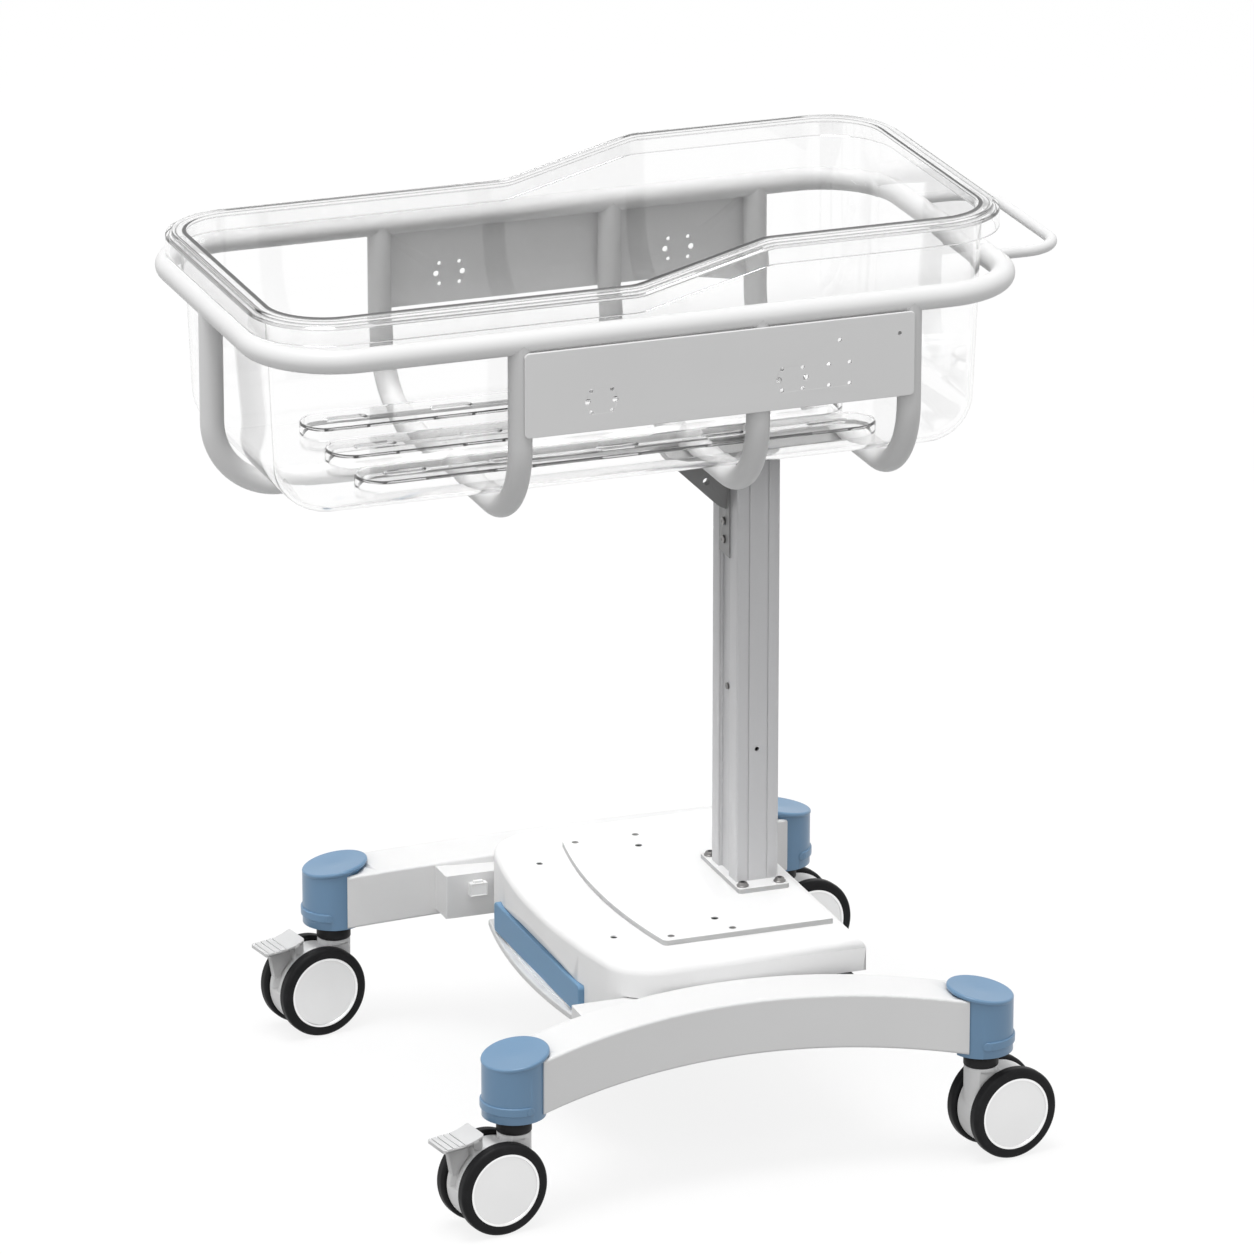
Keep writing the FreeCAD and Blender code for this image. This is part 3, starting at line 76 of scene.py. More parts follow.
class BassinetSizes(bpy.types.PropertyGroup):
    tray_wall: length("Tray wall", "Thickness of the clear tub's walls and floor", 0.004)
    rim_rise: length("Rim rise", "How much higher the tray's rim is at the head end", 0.036)
    rim_skirt: length("Rim skirt", "Height of the skirt round the tray's rim", 0.025)
    rim_step: length("Rim step", "Height of the step round the tray's rim", 0.004)
    rim_ledge: length("Rim ledge", "Width of the ledge outside the rim's step", 0.007)
    rim_flange: length("Rim flange", "Rim's edge to the tub's wall", 0.018)
    rim_corner: length("Rim corner", "Corner radius of the tray's rim", 0.082)
    rim_bend: length("Rim bend", "Radius of the bends where the rim climbs", 0.060)
    tray_lean: length("Tray lean", "How far the tub's walls lean in down to the floor", 0.007)
    tray_floor_edge: length("Tray floor edge", "Radius between the tub's walls and floor", 0.048)
    tray_edge: length("Tray edge", "Radius on the tray's edges", 0.0009)
    rib_height: length("Rib height", "Height of the tray's floor ribs", 0.013)
    rib_width: length("Rib width", "Width of the tray's floor ribs", 0.060)
    rib_pitch: length("Rib pitch", "Distance between the floor ribs", 0.094)
    slot_length: length("Slot length", "Length of the air slots in the ribs", 0.046)
    slot_width: length("Slot width", "Width of the air slots in the ribs", 0.016)
    slot_pitch: length("Slot pitch", "Distance between the air slots", 0.116)
    skirt_radius: length("Skirt radius", "Radius of the base cover's foot skirt in plan", 0.850)
    bumper_plate: length("Bumper plate", "Thickness of the foot bumper", 0.0075)
    bumper_set: length("Bumper set", "How far the bumper is let in from the skirt's front", 0.0065)
    bumper_longer: length("Bumper longer", "How far the bumper's far end passes its solid", 0.005)
    bumper_drop: length("Bumper drop", "How far the bumper's foot lies below its solid's", 0.0027)
    relief_rise: length("Relief rise", "Height of the skirt's relief above the bumper", 0.019)
    relief_lean: length("Relief lean", "How far the relief leans out as it rises", 0.0096)
    wheel_width: length("Wheel width", "Width of one caster wheel", 0.014)
    tyre_thickness: length("Tyre thickness", "Tread to the wheel disc's edge", 0.0105)
    tyre_shoulder: length("Tyre shoulder", "Radius of the tyre's rounded shoulders", 0.004)
    hub_ring: length("Hub ring", "Width of the raised ring round the wheel disc", 0.0025)
    hub_cone: length("Hub cone", "Height of the wheel disc's cone over its edge", 0.0018)
    axle_depth: length("Axle depth", "How deep the axle goes into the hub", 0.009)
    floor_size: length("Floor size", "Side of the square studio floor", 40.0)


class BassinetColours(bpy.types.PropertyGroup):
    # painted shade: the tubes' powder coat made darker for the hoops, standing in for the shade under the panels
    # and tray
    hoop_paint_shaded: colour("Hoop paint", "Powder coat on the three hoops", (0.63, 0.63, 0.63))
    tube_paint: colour("Tube paint", "Powder coat on the cradle's tubes", (0.76, 0.76, 0.76))
    panel_paint: colour("Panel paint", "Powder coat on the side panels", (0.76, 0.76, 0.76))
    bracket_paint: colour("Bracket paint", "Coat on the cradle plate and gusset", (0.24, 0.24, 0.24))
    column_metal: colour("Column metal", "Anodised aluminium of the column", (0.62, 0.62, 0.63))
    cover_plastic: colour("Cover plastic", "Moulded base cover", (0.88, 0.88, 0.88))
    # painted shade: a darker grey for the steep faces of the cover's steps and the flange's edge
    cover_edge_painted_shade: colour("Cover edge", "Steps of the base cover, edge of the flange", (0.50, 0.50, 0.50))
    # painted shade: near-black discs standing in for the shade deep in the cover's holes and the bolts' sockets
    hole_painted_shade: colour("Hole plug", "Plugs in the cover and sockets in the bolts", (0.03, 0.03, 0.03))
    beam_paint: colour("Beam paint", "Powder coat on the base beams", (0.78, 0.78, 0.78))
    chassis_paint: colour("Chassis paint", "Primer on the hidden chassis", (0.05, 0.05, 0.055))
    cap_plastic: colour("Cap plastic", "Blue moulded caster caps", (0.135, 0.258, 0.41))
    bumper_plastic: colour("Bumper plastic", "Blue plate on the foot skirt", (0.175, 0.320, 0.490))
    housing_plastic: colour("Housing plastic", "Caster housings and pedals", (0.86, 0.86, 0.86))
    hub_plastic: colour("Hub plastic", "Wheel discs", (0.86, 0.86, 0.86))
    rubber: colour("Rubber", "Tyres and caster collars", (0.014, 0.014, 0.015))
    steel: colour("Steel", "Screws, washers and axles", (0.26, 0.255, 0.25))
    tray_tint: colour("Tray tint", "Clear plastic of the tray", (0.99, 0.99, 0.99))
    # partly painted shade: the bevels refract for real, and this grey tint on them and on the slot walls darkens
    # the edge lines further
    tray_edge_shade_tint: colour("Tray edge tint", "Tint of the clear tray's edges", (0.62, 0.62, 0.62))
    floor_paint: colour("Floor", "Studio floor, as it lights the object", (0.36, 0.36, 0.36))
    backdrop: colour("Backdrop", "Studio floor, as the camera sees it", (0.95, 0.95, 0.95))


# ---------------------------------------------------------------- shader maths
class Value:
    """A socket's output, so that shader maths can be written as Python expressions."""

    def __init__(self, tree, socket):
        self.tree, self.socket = tree, socket

    def maths(self, operation, *operands):
        node = self.tree.node("ShaderNodeMath", {"operation": operation}, dict(enumerate(operands)))
        return Value(self.tree, node.outputs[0])

    def __add__(self, other):
        return self.maths("ADD", self, other)

    def __radd__(self, other):
        return self.maths("ADD", other, self)

    def __sub__(self, other):
        return self.maths("SUBTRACT", self, other)

    def __rsub__(self, other):
        return self.maths("SUBTRACT", other, self)

    def __mul__(self, other):
        return self.maths("MULTIPLY", self, other)

    def __rmul__(self, other):
        return self.maths("MULTIPLY", other, self)

    def __truediv__(self, other):
        return self.maths("DIVIDE", self, other)

    def clamp(self):
        return self.maths("MINIMUM", self.maths("MAXIMUM", self, 0.0), 1.0)


class Tree:
    """A node tree that takes plain numbers, sockets and values alike."""

    def __init__(self, nodes_of):
        nodes_of.use_nodes = True
        self.node_tree = nodes_of.node_tree

    def node(self, kind, settings=None, inputs=None):
        node = self.node_tree.nodes.new(kind)
        for key, value in (settings or {}).items():
            setattr(node, key, value)
        for key, value in (inputs or {}).items():
            self.feed(node.inputs[key], value)
        return node

    def feed(self, socket, value):
        if isinstance(value, Value):
            value = value.socket
        if isinstance(value, bpy.types.NodeSocket):
            self.node_tree.links.new(value, socket)
        else:
            socket.default_value = value

    def in_view(self):
        """1 on rays that come straight, mirrored or through clear plastic to the camera, otherwise 0."""
        path = self.node("ShaderNodeLightPath")
        seen, mirrored, through, scattered = (Value(self, path.outputs[name]) for name in (
            "Is Camera Ray", "Is Glossy Ray", "Is Transmission Ray", "Diffuse Depth"))
        return (seen + mirrored + through).clamp() * (1.0 - scattered).clamp()


class Recipe(Tree):
    """One material's node tree with its Principled shader."""

    def __init__(self, name, **constants):
        self.material = bpy.data.materials.new(name)
        super().__init__(self.material)
        self.shader = self.node_tree.nodes["Principled BSDF"]
        for socket, value in constants.items():
            self.shader.inputs[socket.replace("_", " ")].default_value = value

    def link(self, name, value):
        self.feed(self.shader.inputs[name], value)

    def place(self, scale=(1, 1, 1)):
        """Place on the object in metres, stretched by a scale."""
        coords = self.node("ShaderNodeTexCoord")
        mapping = self.node("ShaderNodeMapping", None, {"Vector": coords.outputs["Object"], "Scale": scale})
        return mapping.outputs["Vector"]

    def height(self):
        """Height above the ground in metres."""
        node = self.node("ShaderNodeSeparateXYZ", None, {0: self.place()})
        return Value(self, node.outputs[2])

    def noise(self, vector, scale, detail=2.0, roughness=0.5):
        node = self.node("ShaderNodeTexNoise", None,
                         {"Vector": vector, "Scale": scale, "Detail": detail, "Roughness": roughness})
        return Value(self, node.outputs["Fac"])

    def blend(self, factor, dark, light):
        """Mix of two colours by a factor."""
        mix = self.node("ShaderNodeMix", {"data_type": "RGBA"})
        factor_in, dark_in, light_in = (mix.inputs[number] for number in (0, 6, 7))
        self.feed(factor_in, factor)
        self.feed(dark_in, (*dark, 1.0))
        self.feed(light_in, (*light, 1.0))
        return mix.outputs[2]

    def bump(self, height, distance, strength):
        node = self.node("ShaderNodeBump", None,
                         {"Height": height, "Distance": distance, "Strength": strength})
        self.link("Normal", node.outputs["Normal"])

    def mixed_with(self, factor, other):
        """Give the surface the Principled shader, passing into another shader by a factor."""
        mix = self.node("ShaderNodeMixShader", None,
                        {0: factor, 1: self.shader.outputs[0], 2: other.outputs[0]})
        self.feed(self.node_tree.nodes["Material Output"].inputs["Surface"], mix.outputs[0])


def tinted(rgb, gain):
    """A colour made lighter or darker."""
    return tuple(min(1.0, c * gain) for c in rgb)


# ---------------------------------------------------------------- finishes
def coated_metal(name, rgb, roughness, coat=0.0):
    """Powder coat: orange peel, faint cloudiness and small scuffs."""
    r = Recipe(name, Coat_Weight=coat, Coat_Roughness=0.25, Specular_IOR_Level=0.25)
    here = r.place()
    cloud = r.noise(here, scale=9.0, detail=3.0)
    peel = r.noise(here, scale=620.0, detail=1.0)
    scuff = ((r.noise(r.place((1.0, 1.0, 0.35)), scale=85.0, detail=4.0) - 0.62) * 6.0).clamp()
    r.link("Base Color", r.blend(cloud, tinted(rgb, 0.965), tinted(rgb, 1.02)))
    r.link("Roughness", roughness + 0.06 * cloud + 0.12 * scuff)
    r.bump(peel, distance=0.00006, strength=0.35)
    return r.material


def moulded_plastic(name, rgb, roughness, gloss=0.22, metal=0.0):
    """Moulded plastic: fine spark texture with flow variation."""
    r = Recipe(name, Specular_IOR_Level=gloss, Metallic=metal)
    here = r.place()
    flow = r.noise(here, scale=14.0)
    spark = r.noise(here, scale=700.0, roughness=0.6)
    r.link("Base Color", r.blend(flow, tinted(rgb, 0.96), tinted(rgb, 1.03)))
    r.link("Roughness", roughness + 0.08 * flow + 0.06 * spark)
    r.bump(spark, distance=0.00005, strength=0.4)
    return r.material


def anodised_profile(name, rgb, shade_starts_at=0.24, shade_deepest_at=0.71):
    """Drawn aluminium: long fine lines up the profile, with painted shade that deepens its grey towards the top.
    """
    r = Recipe(name, Metallic=0.2)
    lines = r.noise(r.place((900.0, 900.0, 3.0)), scale=1.0, detail=3.0, roughness=0.6)
    cloud = r.noise(r.place((4.0, 4.0, 1.5)), scale=2.0)
    # painted shade: darker with height, standing in for the shade under the cradle and tray
    low = 1.0 - ((r.height() - shade_starts_at) / (shade_deepest_at - shade_starts_at)).clamp()
    tone_and_painted_shade = cloud * 0.15 + lines * 0.1 + low * 0.75
    r.link("Base Color", r.blend(tone_and_painted_shade, tinted(rgb, 0.62), tinted(rgb, 1.04)))
    r.link("Roughness", 0.40 + 0.10 * lines)
    r.bump(lines, distance=0.00003, strength=0.3)
    return r.material


def plain_steel(name, rgb):
    """Bare steel with faint spots."""
    r = Recipe(name, Metallic=1.0)
    spots = r.noise(r.place(), scale=260.0, detail=3.0)
    r.link("Base Color", r.blend(spots, tinted(rgb, 0.8), tinted(rgb, 1.1)))
    r.link("Roughness", 0.28 + 0.18 * spots)
    r.bump(spots, distance=0.00004, strength=0.3)
    return r.material


def tyre_rubber(name, rgb):
    """Black rubber with a fine grain and patches of dust."""
    r = Recipe(name, Specular_IOR_Level=0.12)
    here = r.place()
    dust = (r.noise(here, scale=38.0, detail=5.0, roughness=0.65) - 0.45).clamp()
    grain = r.noise(here, scale=900.0)
    r.link("Base Color", r.blend(dust * 2.0, rgb, tinted(rgb, 2.2)))
    r.link("Roughness", 0.42 + 0.5 * dust + 0.05 * grain)
    r.bump(grain, distance=0.00006, strength=0.4)
    return r.material


def clear_plastic(name, rgb, shadow):
    """Clear tray plastic; light passes through it, so that what stands inside and below stays lit."""
    r = Recipe(name, Base_Color=(*rgb, 1.0), Roughness=0.0, IOR=1.49, Transmission_Weight=1.0)
    path = r.node("ShaderNodeLightPath")
    through = r.node("ShaderNodeBsdfTransparent", None, {"Color": (shadow, shadow, shadow, 1.0)})
    r.mixed_with(path.outputs["Is Shadow Ray"], through)
    return r.material


def make_finishes(c):
    """Every finish, by the record's material slot or by its own name where the record has none."""
    return {
        "tube_white": coated_metal("tube_coat", c.tube_paint, roughness=0.42),
        # darker copy of the tube coat: painted shade on the hoops
        "hoop_painted_shade": coated_metal("hoop_coat_painted_shade", c.hoop_paint_shaded, roughness=0.42),
        "panel_grey": coated_metal("panel_coat", c.panel_paint, roughness=0.48),
        "beam_white": coated_metal("beam_coat", c.beam_paint, roughness=0.44),
        "bracket_grey": coated_metal("bracket_coat", c.bracket_paint, roughness=0.45, coat=0.25),
        "chassis_steel": coated_metal("chassis_primer", c.chassis_paint, roughness=0.55),
        # the column's finish carries painted shade towards its top
        "column_aluminium": anodised_profile("column_anodised_painted_shade", c.column_metal),
        "steel": plain_steel("plain_steel", c.steel),
        "tray_clear": clear_plastic("tray_plastic", c.tray_tint, shadow=0.90),
        # grey-tinted clear plastic for edges and slot walls: painted shade on top of real refraction
        "tray_edge": clear_plastic("tray_edge_shaded_plastic", c.tray_edge_shade_tint, shadow=0.7),
        "base_white": moulded_plastic("cover_plastic", c.cover_plastic, roughness=0.36),
        # painted shade on the steep step faces of the cover and flange
        "cover_edge_painted_shade": moulded_plastic("cover_step_shade_plastic", c.cover_edge_painted_shade, roughness=0.5),
        # painted shade for holes and bolt sockets
        "hole_painted_shade": moulded_plastic("hole_shade_plastic", c.hole_painted_shade, roughness=0.5),
        "sill_grey": moulded_plastic("sill_plastic", tinted(c.cover_plastic, 0.8), roughness=0.4),
        "bumper_blue": moulded_plastic("bumper_plastic", c.bumper_plastic, roughness=0.40),
        "cap_blue": moulded_plastic("cap_plastic", c.cap_plastic, roughness=0.26, gloss=0.65),
        "collar_black": moulded_plastic("collar_plastic", c.rubber, roughness=0.4),
        "housing_grey": moulded_plastic("housing_plastic", c.housing_plastic, roughness=0.38),
        "pedal_white": moulded_plastic("pedal_plastic", tinted(c.housing_plastic, 0.76), roughness=0.36),
        "hub_white": moulded_plastic("hub_plastic", c.hub_plastic, roughness=0.30, metal=0.7),
        "hub_ring": moulded_plastic("hub_ring_plastic", tinted(c.hub_plastic, 1.12), roughness=0.22,
                                    metal=0.9),
        "tyre_black": tyre_rubber("tyre_rubber", c.rubber),
    }


FINISHES = {}    # filled by the first operator


# ---------------------------------------------------------------- modelling helpers
def alone(obj):
    """Deselect everything, then select and activate one object."""
    bpy.ops.object.select_all(action="DESELECT")
    obj.select_set(True)
    bpy.context.view_layer.objects.active = obj


def fresh(name, add, scale=(1, 1, 1), **settings):
    """A primitive added by its operator, with its place and scale in its mesh."""
    bpy.ops.object.select_all(action="DESELECT")
    add(**settings)
    obj = bpy.context.object
    obj.name = name
    obj.scale = scale
    bpy.ops.object.transform_apply(location=True, scale=True)
    return obj


def copied(model, name, place=(0, 0, 0), axis=(0, 0, 1)):
    """A copy of a piece with its own mesh, its upright axis laid along another, moved to a place."""
    copy = bpy.data.objects.new(name, model.data.copy())
    bpy.context.scene.collection.objects.link(copy)
    alone(copy)
    copy.rotation_mode = "QUATERNION"
    copy.rotation_quaternion = Vector((0, 0, 1)).rotation_difference(Vector(axis))
    copy.location = place
    bpy.ops.object.transform_apply(location=True, rotation=True)
    return copy


def pick(obj, test, kind="VERT"):
    """Select the vertices, or the edges by their two ends, that pass a test, and stay in edit mode."""
    bpy.ops.object.mode_set(mode="EDIT")
    bpy.ops.mesh.select_mode(type=kind)
    bpy.ops.mesh.select_all(action="DESELECT")
    bpy.ops.object.mode_set(mode="OBJECT")
    vertices = obj.data.vertices
    if kind == "VERT":
        for vertex in vertices:
            vertex.select = test(vertex.co)
    else:
        for edge in obj.data.edges:
            edge.select = test(*(vertices[end].co for end in edge.vertices))
    bpy.ops.object.mode_set(mode="EDIT")


def pick_open_edges():
    """Select only the mesh's open edges, in edit mode."""
    bpy.ops.mesh.select_all(action="DESELECT")
    bpy.ops.mesh.select_non_manifold(extend=False, use_wire=False, use_boundary=True,
                                     use_multi_face=False, use_non_contiguous=False, use_verts=False)


def dished(rim, dish):
    """Sink the picked vertices' face inside a rim, then leave edit mode."""
    bpy.ops.mesh.select_mode(type="FACE")
    bpy.ops.mesh.inset(thickness=rim, depth=0.0)
    bpy.ops.transform.translate(value=dish)
    bpy.ops.object.mode_set(mode="OBJECT")


def modifier(obj, kind, **settings):
    """Add a modifier with its settings and apply it."""
    alone(obj)
    bpy.ops.object.modifier_add(type=kind)
    added = obj.modifiers[-1]
    for key, value in settings.items():
        setattr(added, key, value)
    bpy.ops.object.modifier_apply(modifier=added.name)


def rounded(obj, width, segments, angle, **settings):
    """Bevel the edges that are sharper than an angle in degrees."""
    modifier(obj, "BEVEL", width=width, segments=segments, limit_method="ANGLE",
             angle_limit=math.radians(angle), **settings)


def joined_by(obj, tool, operation):
    """Add, cut or meet one solid with another, which is used up."""
    modifier(obj, "BOOLEAN", operation=operation, object=tool, solver="EXACT")
    bpy.data.objects.remove(tool)


def shade(obj, angle):
    """Smooth shading that keeps flat faces flat beside their rounded edges."""
    alone(obj)
    bpy.ops.object.shade_smooth_by_angle(angle=math.radians(angle))
    modifier(obj, "WEIGHTED_NORMAL", mode="FACE_AREA_WITH_ANGLE", keep_sharp=True)


def finish_of(obj, material):
    """Give a piece one finish all over."""
    obj.data.materials.clear()
    obj.data.materials.append(material)


def goes_with(obj, node):
    """Put an added piece on a node's body; the node stays."""
    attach(obj, BODY_OF[node])


def stands_for(obj, node):
    """Put a piece on its node's body, in place of the node."""
    goes_with(obj, node)
    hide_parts(node)


def block(name, low, high):
    """A box between two corners."""
    return fresh(name, bpy.ops.mesh.primitive_cube_add, size=1.0, scale=[b - a for a, b in zip(low, high)],
                 location=[(a + b) / 2 for a, b in zip(low, high)])


def long_slab(name, length_x, width, centre, low, high):
    """A slab with half round ends, long in X."""
    slab = fresh(name, bpy.ops.mesh.primitive_cylinder_add, vertices=64, radius=width / 2, depth=high - low,
                 location=(centre[0], centre[1], (low + high) / 2))
    for side in (-1, 1):
        pick(slab, lambda co: (co.x - centre[0]) * side > TOUCH)
        bpy.ops.transform.translate(value=(side * (length_x - width) / 2, 0, 0))
    bpy.ops.object.mode_set(mode="OBJECT")
    return slab


def cap_end(ring, tip):
    """Close the selected ring by a fan of faces to a point on the axis, and select the open ring."""
    bpy.ops.mesh.extrude_edges_move(TRANSFORM_OT_translate={"value": (0, 0, tip[1] - ring[1])})
    bpy.ops.mesh.merge(type="CENTER")
    pick_open_edges()


def turned(name, profile, segments, closed):
    """Turn a profile of (radius, height) about Z by extruding one ring of a circle after another.

    A closed profile comes back to its first ring; an open one starts and ends on the axis."""
    rings = profile if closed else profile[1:-1]
    obj = fresh(name, bpy.ops.mesh.primitive_circle_add, vertices=segments, radius=rings[0][0],
                location=(0, 0, rings[0][1]))
    bpy.ops.object.mode_set(mode="EDIT")
    bpy.ops.mesh.select_mode(type="VERT")
    bpy.ops.mesh.select_all(action="SELECT")
    if not closed:
        cap_end(rings[0], profile[0])
    for (r0, z0), (r1, z1) in zip(rings, rings[1:]):
        bpy.ops.mesh.extrude_edges_move(TRANSFORM_OT_translate={"value": (0, 0, z1 - z0)})
        bpy.ops.transform.resize(value=(r1 / r0, r1 / r0, 1), center_override=(0, 0, z1))
    if closed:
        pick_open_edges()
        bpy.ops.mesh.bridge_edge_loops()
    else:
        cap_end(rings[-1], profile[-1])
    bpy.ops.mesh.select_all(action="SELECT")
    bpy.ops.mesh.remove_doubles(threshold=1e-7)
    bpy.ops.mesh.normals_make_consistent(inside=False)
    bpy.ops.object.mode_set(mode="OBJECT")
    return obj


# ---------------------------------------------------------------- operators
class BASSINET_OT_finishes(bpy.types.Operator):
    """Make every finish"""
    bl_idname = "bassinet.finishes"
    bl_label = "Finishes"

    def execute(self, context):
        FINISHES.update(make_finishes(context.scene.bassinet_colours))
        return {"FINISHED"}


class BASSINET_OT_skins(bpy.types.Operator):
    """Weld and smooth the frame's own pieces and give them their finishes"""
    bl_idname = "bassinet.skins"
    bl_label = "Frame pieces"

    MADE_ANEW = ("tray", "foot_bumper")                   # and every hub and tyre
    SMOOTH = 32.0                                         # degrees up to which an edge is smooth
    FLATTENED = {"column_profile": 0.2}                   # degrees up to which small faces are merged
    EDGES = {"base_cover": (0.2261, 0.2319),              # heights between which steep faces get the painted shade
             "column_flange": (0.2321, 0.2369)}
    STEEP = 0.7                                           # largest upward share of a steep face's normal

    def skin(self, node):
        """A welded, smooth shaded copy of a node that stands for it."""
        skin = copied(NODES[node], node + "_skin")
        bpy.ops.object.mode_set(mode="EDIT")
        bpy.ops.mesh.select_all(action="SELECT")
        bpy.ops.mesh.remove_doubles(threshold=1e-6)
        if node in self.FLATTENED:
            bpy.ops.mesh.dissolve_limited(angle_limit=math.radians(self.FLATTENED[node]))
        bpy.ops.object.mode_set(mode="OBJECT")
        shade(skin, self.SMOOTH)
        stands_for(skin, node)
        # hoops take the darker copy of the tube coat, which is painted shade
        finish_of(skin, FINISHES["hoop_painted_shade" if node.startswith("hoop_") else SLOT_OF[node]])
        return skin

    def paint_step_shade(self, skin, low, high):
        """Give the steep faces between two heights a darker finish: painted shade on the cover's steps and the
        flange's edge.
        """
        skin.data.materials.append(FINISHES["cover_edge_painted_shade"])
        for face in skin.data.polygons:
            face.material_index = int(low < face.center.z < high and abs(face.normal.z) < self.STEEP)

    def execute(self, context):
        for node in sorted(NODES):
            if "_hub_" in node or "_tyre_" in node or node in self.MADE_ANEW:
                continue
            skin = self.skin(node)
            if node in self.EDGES:
                self.paint_step_shade(skin, *self.EDGES[node])
        return {"FINISHED"}


class BASSINET_OT_tray(bpy.types.Operator):
    """Mould the clear tray with its stepped rim, climbing to the head end, and its slotted floor ribs"""
    bl_idname = "bassinet.tray"
    bl_label = "Tray"

    CLIMB = (-0.062, 0.093)      # where the rim starts and stops climbing
    CLIMB_COLUMNS = 36           # columns of faces along the climb
    FOOT_COLUMNS = 5             # columns of faces cut into the level foot part
    FOOT_PITCH = 0.06            # distance between them
    CORNER_STEPS = 20            # faces round a corner of the rim
    FLOOR_STEPS = 10             # faces round the edge of the floor
    RIBS = (-0.324, 0.246)       # ends of the floor ribs
    RIB_EDGE = 0.0025            # radius on the ribs' edges
    SLOT_STEPS = (-2, -1, 0, 1, 2)    # pitches from a rib's middle to its air slots
    PASS = 0.002                 # how far a cutter passes the floor or a rib's top
    SHARP = 50                   # degrees from which an edge is rounded
    SMOOTH = 30.0                # degrees up to which an edge is smooth

    def climb(self, x, s):
        """How far the rim has climbed at x: a straight slope between two bends of one radius."""
        start, end = self.CLIMB
        run, rise, bend = end - start, s.rim_rise, s.rim_bend
        apart = 2 * bend - rise
        slope = math.asin(2 * bend / math.hypot(run, apart)) - math.atan2(apart, run)
        bent = bend * math.sin(slope)
        if x < start + bent:
            return bend - math.sqrt(bend ** 2 - (x - start) ** 2)
        if x > end - bent:
            return rise - bend + math.sqrt(bend ** 2 - (end - x) ** 2)
        return bend * (1 - math.cos(slope)) + (x - start - bent) * math.tan(slope)

    def steps(self, low, rim, s):
        """Widths and heights by which the shell is drawn in, from the skirt's foot to the floor."""
        wall = rim - (low[2] + s.tray_wall) - s.tray_floor_edge
        steps = [(0.0, s.rim_skirt - s.rim_step), (s.rim_ledge, 0.0), (0.0, s.rim_step),
                 (s.rim_flange + s.tray_wall - s.rim_ledge, 0.0)]
        steps += [(s.tray_lean * 0.5, -wall * 0.5)] * 2
        turns = [math.radians(90 * step / self.FLOOR_STEPS) for step in range(self.FLOOR_STEPS + 1)]
        radius = s.tray_floor_edge
        steps += [(radius * (math.cos(a) - math.cos(b)), -radius * (math.sin(b) - math.sin(a)))
                  for a, b in zip(turns, turns[1:])]
        return steps

    def shell(self, low, high, s):
        """Open shell of four-sided faces, level at first, whose rim then climbs to the head end."""
        rim = high[2] - s.rim_rise
        base = rim - s.rim_skirt
        shell = fresh("tray_moulding", bpy.ops.mesh.primitive_plane_add, size=1.0,
                      scale=(high[0] - low[0], high[1] - low[1], 1.0),
                      location=((low[0] + high[0]) / 2, (low[1] + high[1]) / 2, base))
        bpy.ops.object.mode_set(mode="EDIT")
        bpy.ops.mesh.select_all(action="SELECT")
        bpy.ops.mesh.bevel(offset=s.rim_corner, segments=self.CORNER_STEPS, affect="VERTICES")
        start, end = self.CLIMB
        climbing = [start + (end - start) * step / self.CLIMB_COLUMNS
                    for step in range(self.CLIMB_COLUMNS + 1)]
        level = [start - step * self.FOOT_PITCH for step in range(1, self.FOOT_COLUMNS + 1)]
        for x in climbing + level:
            bpy.ops.mesh.select_all(action="SELECT")
            bpy.ops.mesh.bisect(plane_co=(x, 0, 0), plane_no=(1, 0, 0))
        bpy.ops.mesh.select_mode(type="FACE")
        bpy.ops.mesh.select_all(action="SELECT")
        for thickness, depth in self.steps(low, rim, s):
            bpy.ops.mesh.inset(thickness=thickness, depth=depth, use_even_offset=True)
        for x in climbing[1:-1]:
            pick(shell, lambda co: abs(co.x - x) < TOUCH and co.z > base - TOUCH)
            bpy.ops.transform.translate(value=(0, 0, self.climb(x, s)))
        pick(shell, lambda co: co.x > end - TOUCH and co.z > base - TOUCH)
        bpy.ops.transform.translate(value=(0, 0, s.rim_rise))
        bpy.ops.object.mode_set(mode="OBJECT")
        return shell

    def clear(self, obj, edge=False):
        """Clear plastic, with its darker edge tint (painted shade for the dark lines along clear edges) in the
        second place and, where asked for, all over.
        """
        obj.data.materials.append(FINISHES["tray_clear"])
        obj.data.materials.append(FINISHES["tray_edge"])
        for face in obj.data.polygons:
            face.material_index = int(edge)
        return obj

    def execute(self, context):
        s = context.scene.bassinet_sizes
        low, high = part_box("tray")
        tray = self.clear(self.shell(low, high, s))
        modifier(tray, "SOLIDIFY", thickness=s.tray_wall, offset=-1.0, use_even_offset=True)
        rounded(tray, s.tray_edge, segments=2, angle=self.SHARP, material=1)
        top, under = low[2] + s.tray_wall + s.rib_height, low[2] - self.PASS
        middle, reach = sum(self.RIBS) / 2, self.RIBS[1] - self.RIBS[0]
        for row in (-1, 0, 1):
            y = row * s.rib_pitch
            rib = long_slab("rib", reach, s.rib_width, (middle, y), low[2] + s.tray_wall / 2, top)
            hollow = long_slab("hollow", reach - 2 * s.tray_wall, s.rib_width - 2 * s.tray_wall, (middle, y),
                               under, top - s.tray_wall)
            self.clear(hollow)
            rounded(self.clear(rib), self.RIB_EDGE, segments=2, angle=self.SHARP, material=1)
            joined_by(tray, rib, "UNION")
            joined_by(tray, hollow, "DIFFERENCE")
            for step in self.SLOT_STEPS:
                slot = long_slab("slot", s.slot_length, s.slot_width, (middle + step * s.slot_pitch, y),
                                 under, top + self.PASS)
                joined_by(tray, self.clear(slot, edge=True), "DIFFERENCE")
        shade(tray, self.SMOOTH)
        stands_for(tray, "tray")
        return {"FINISHED"}


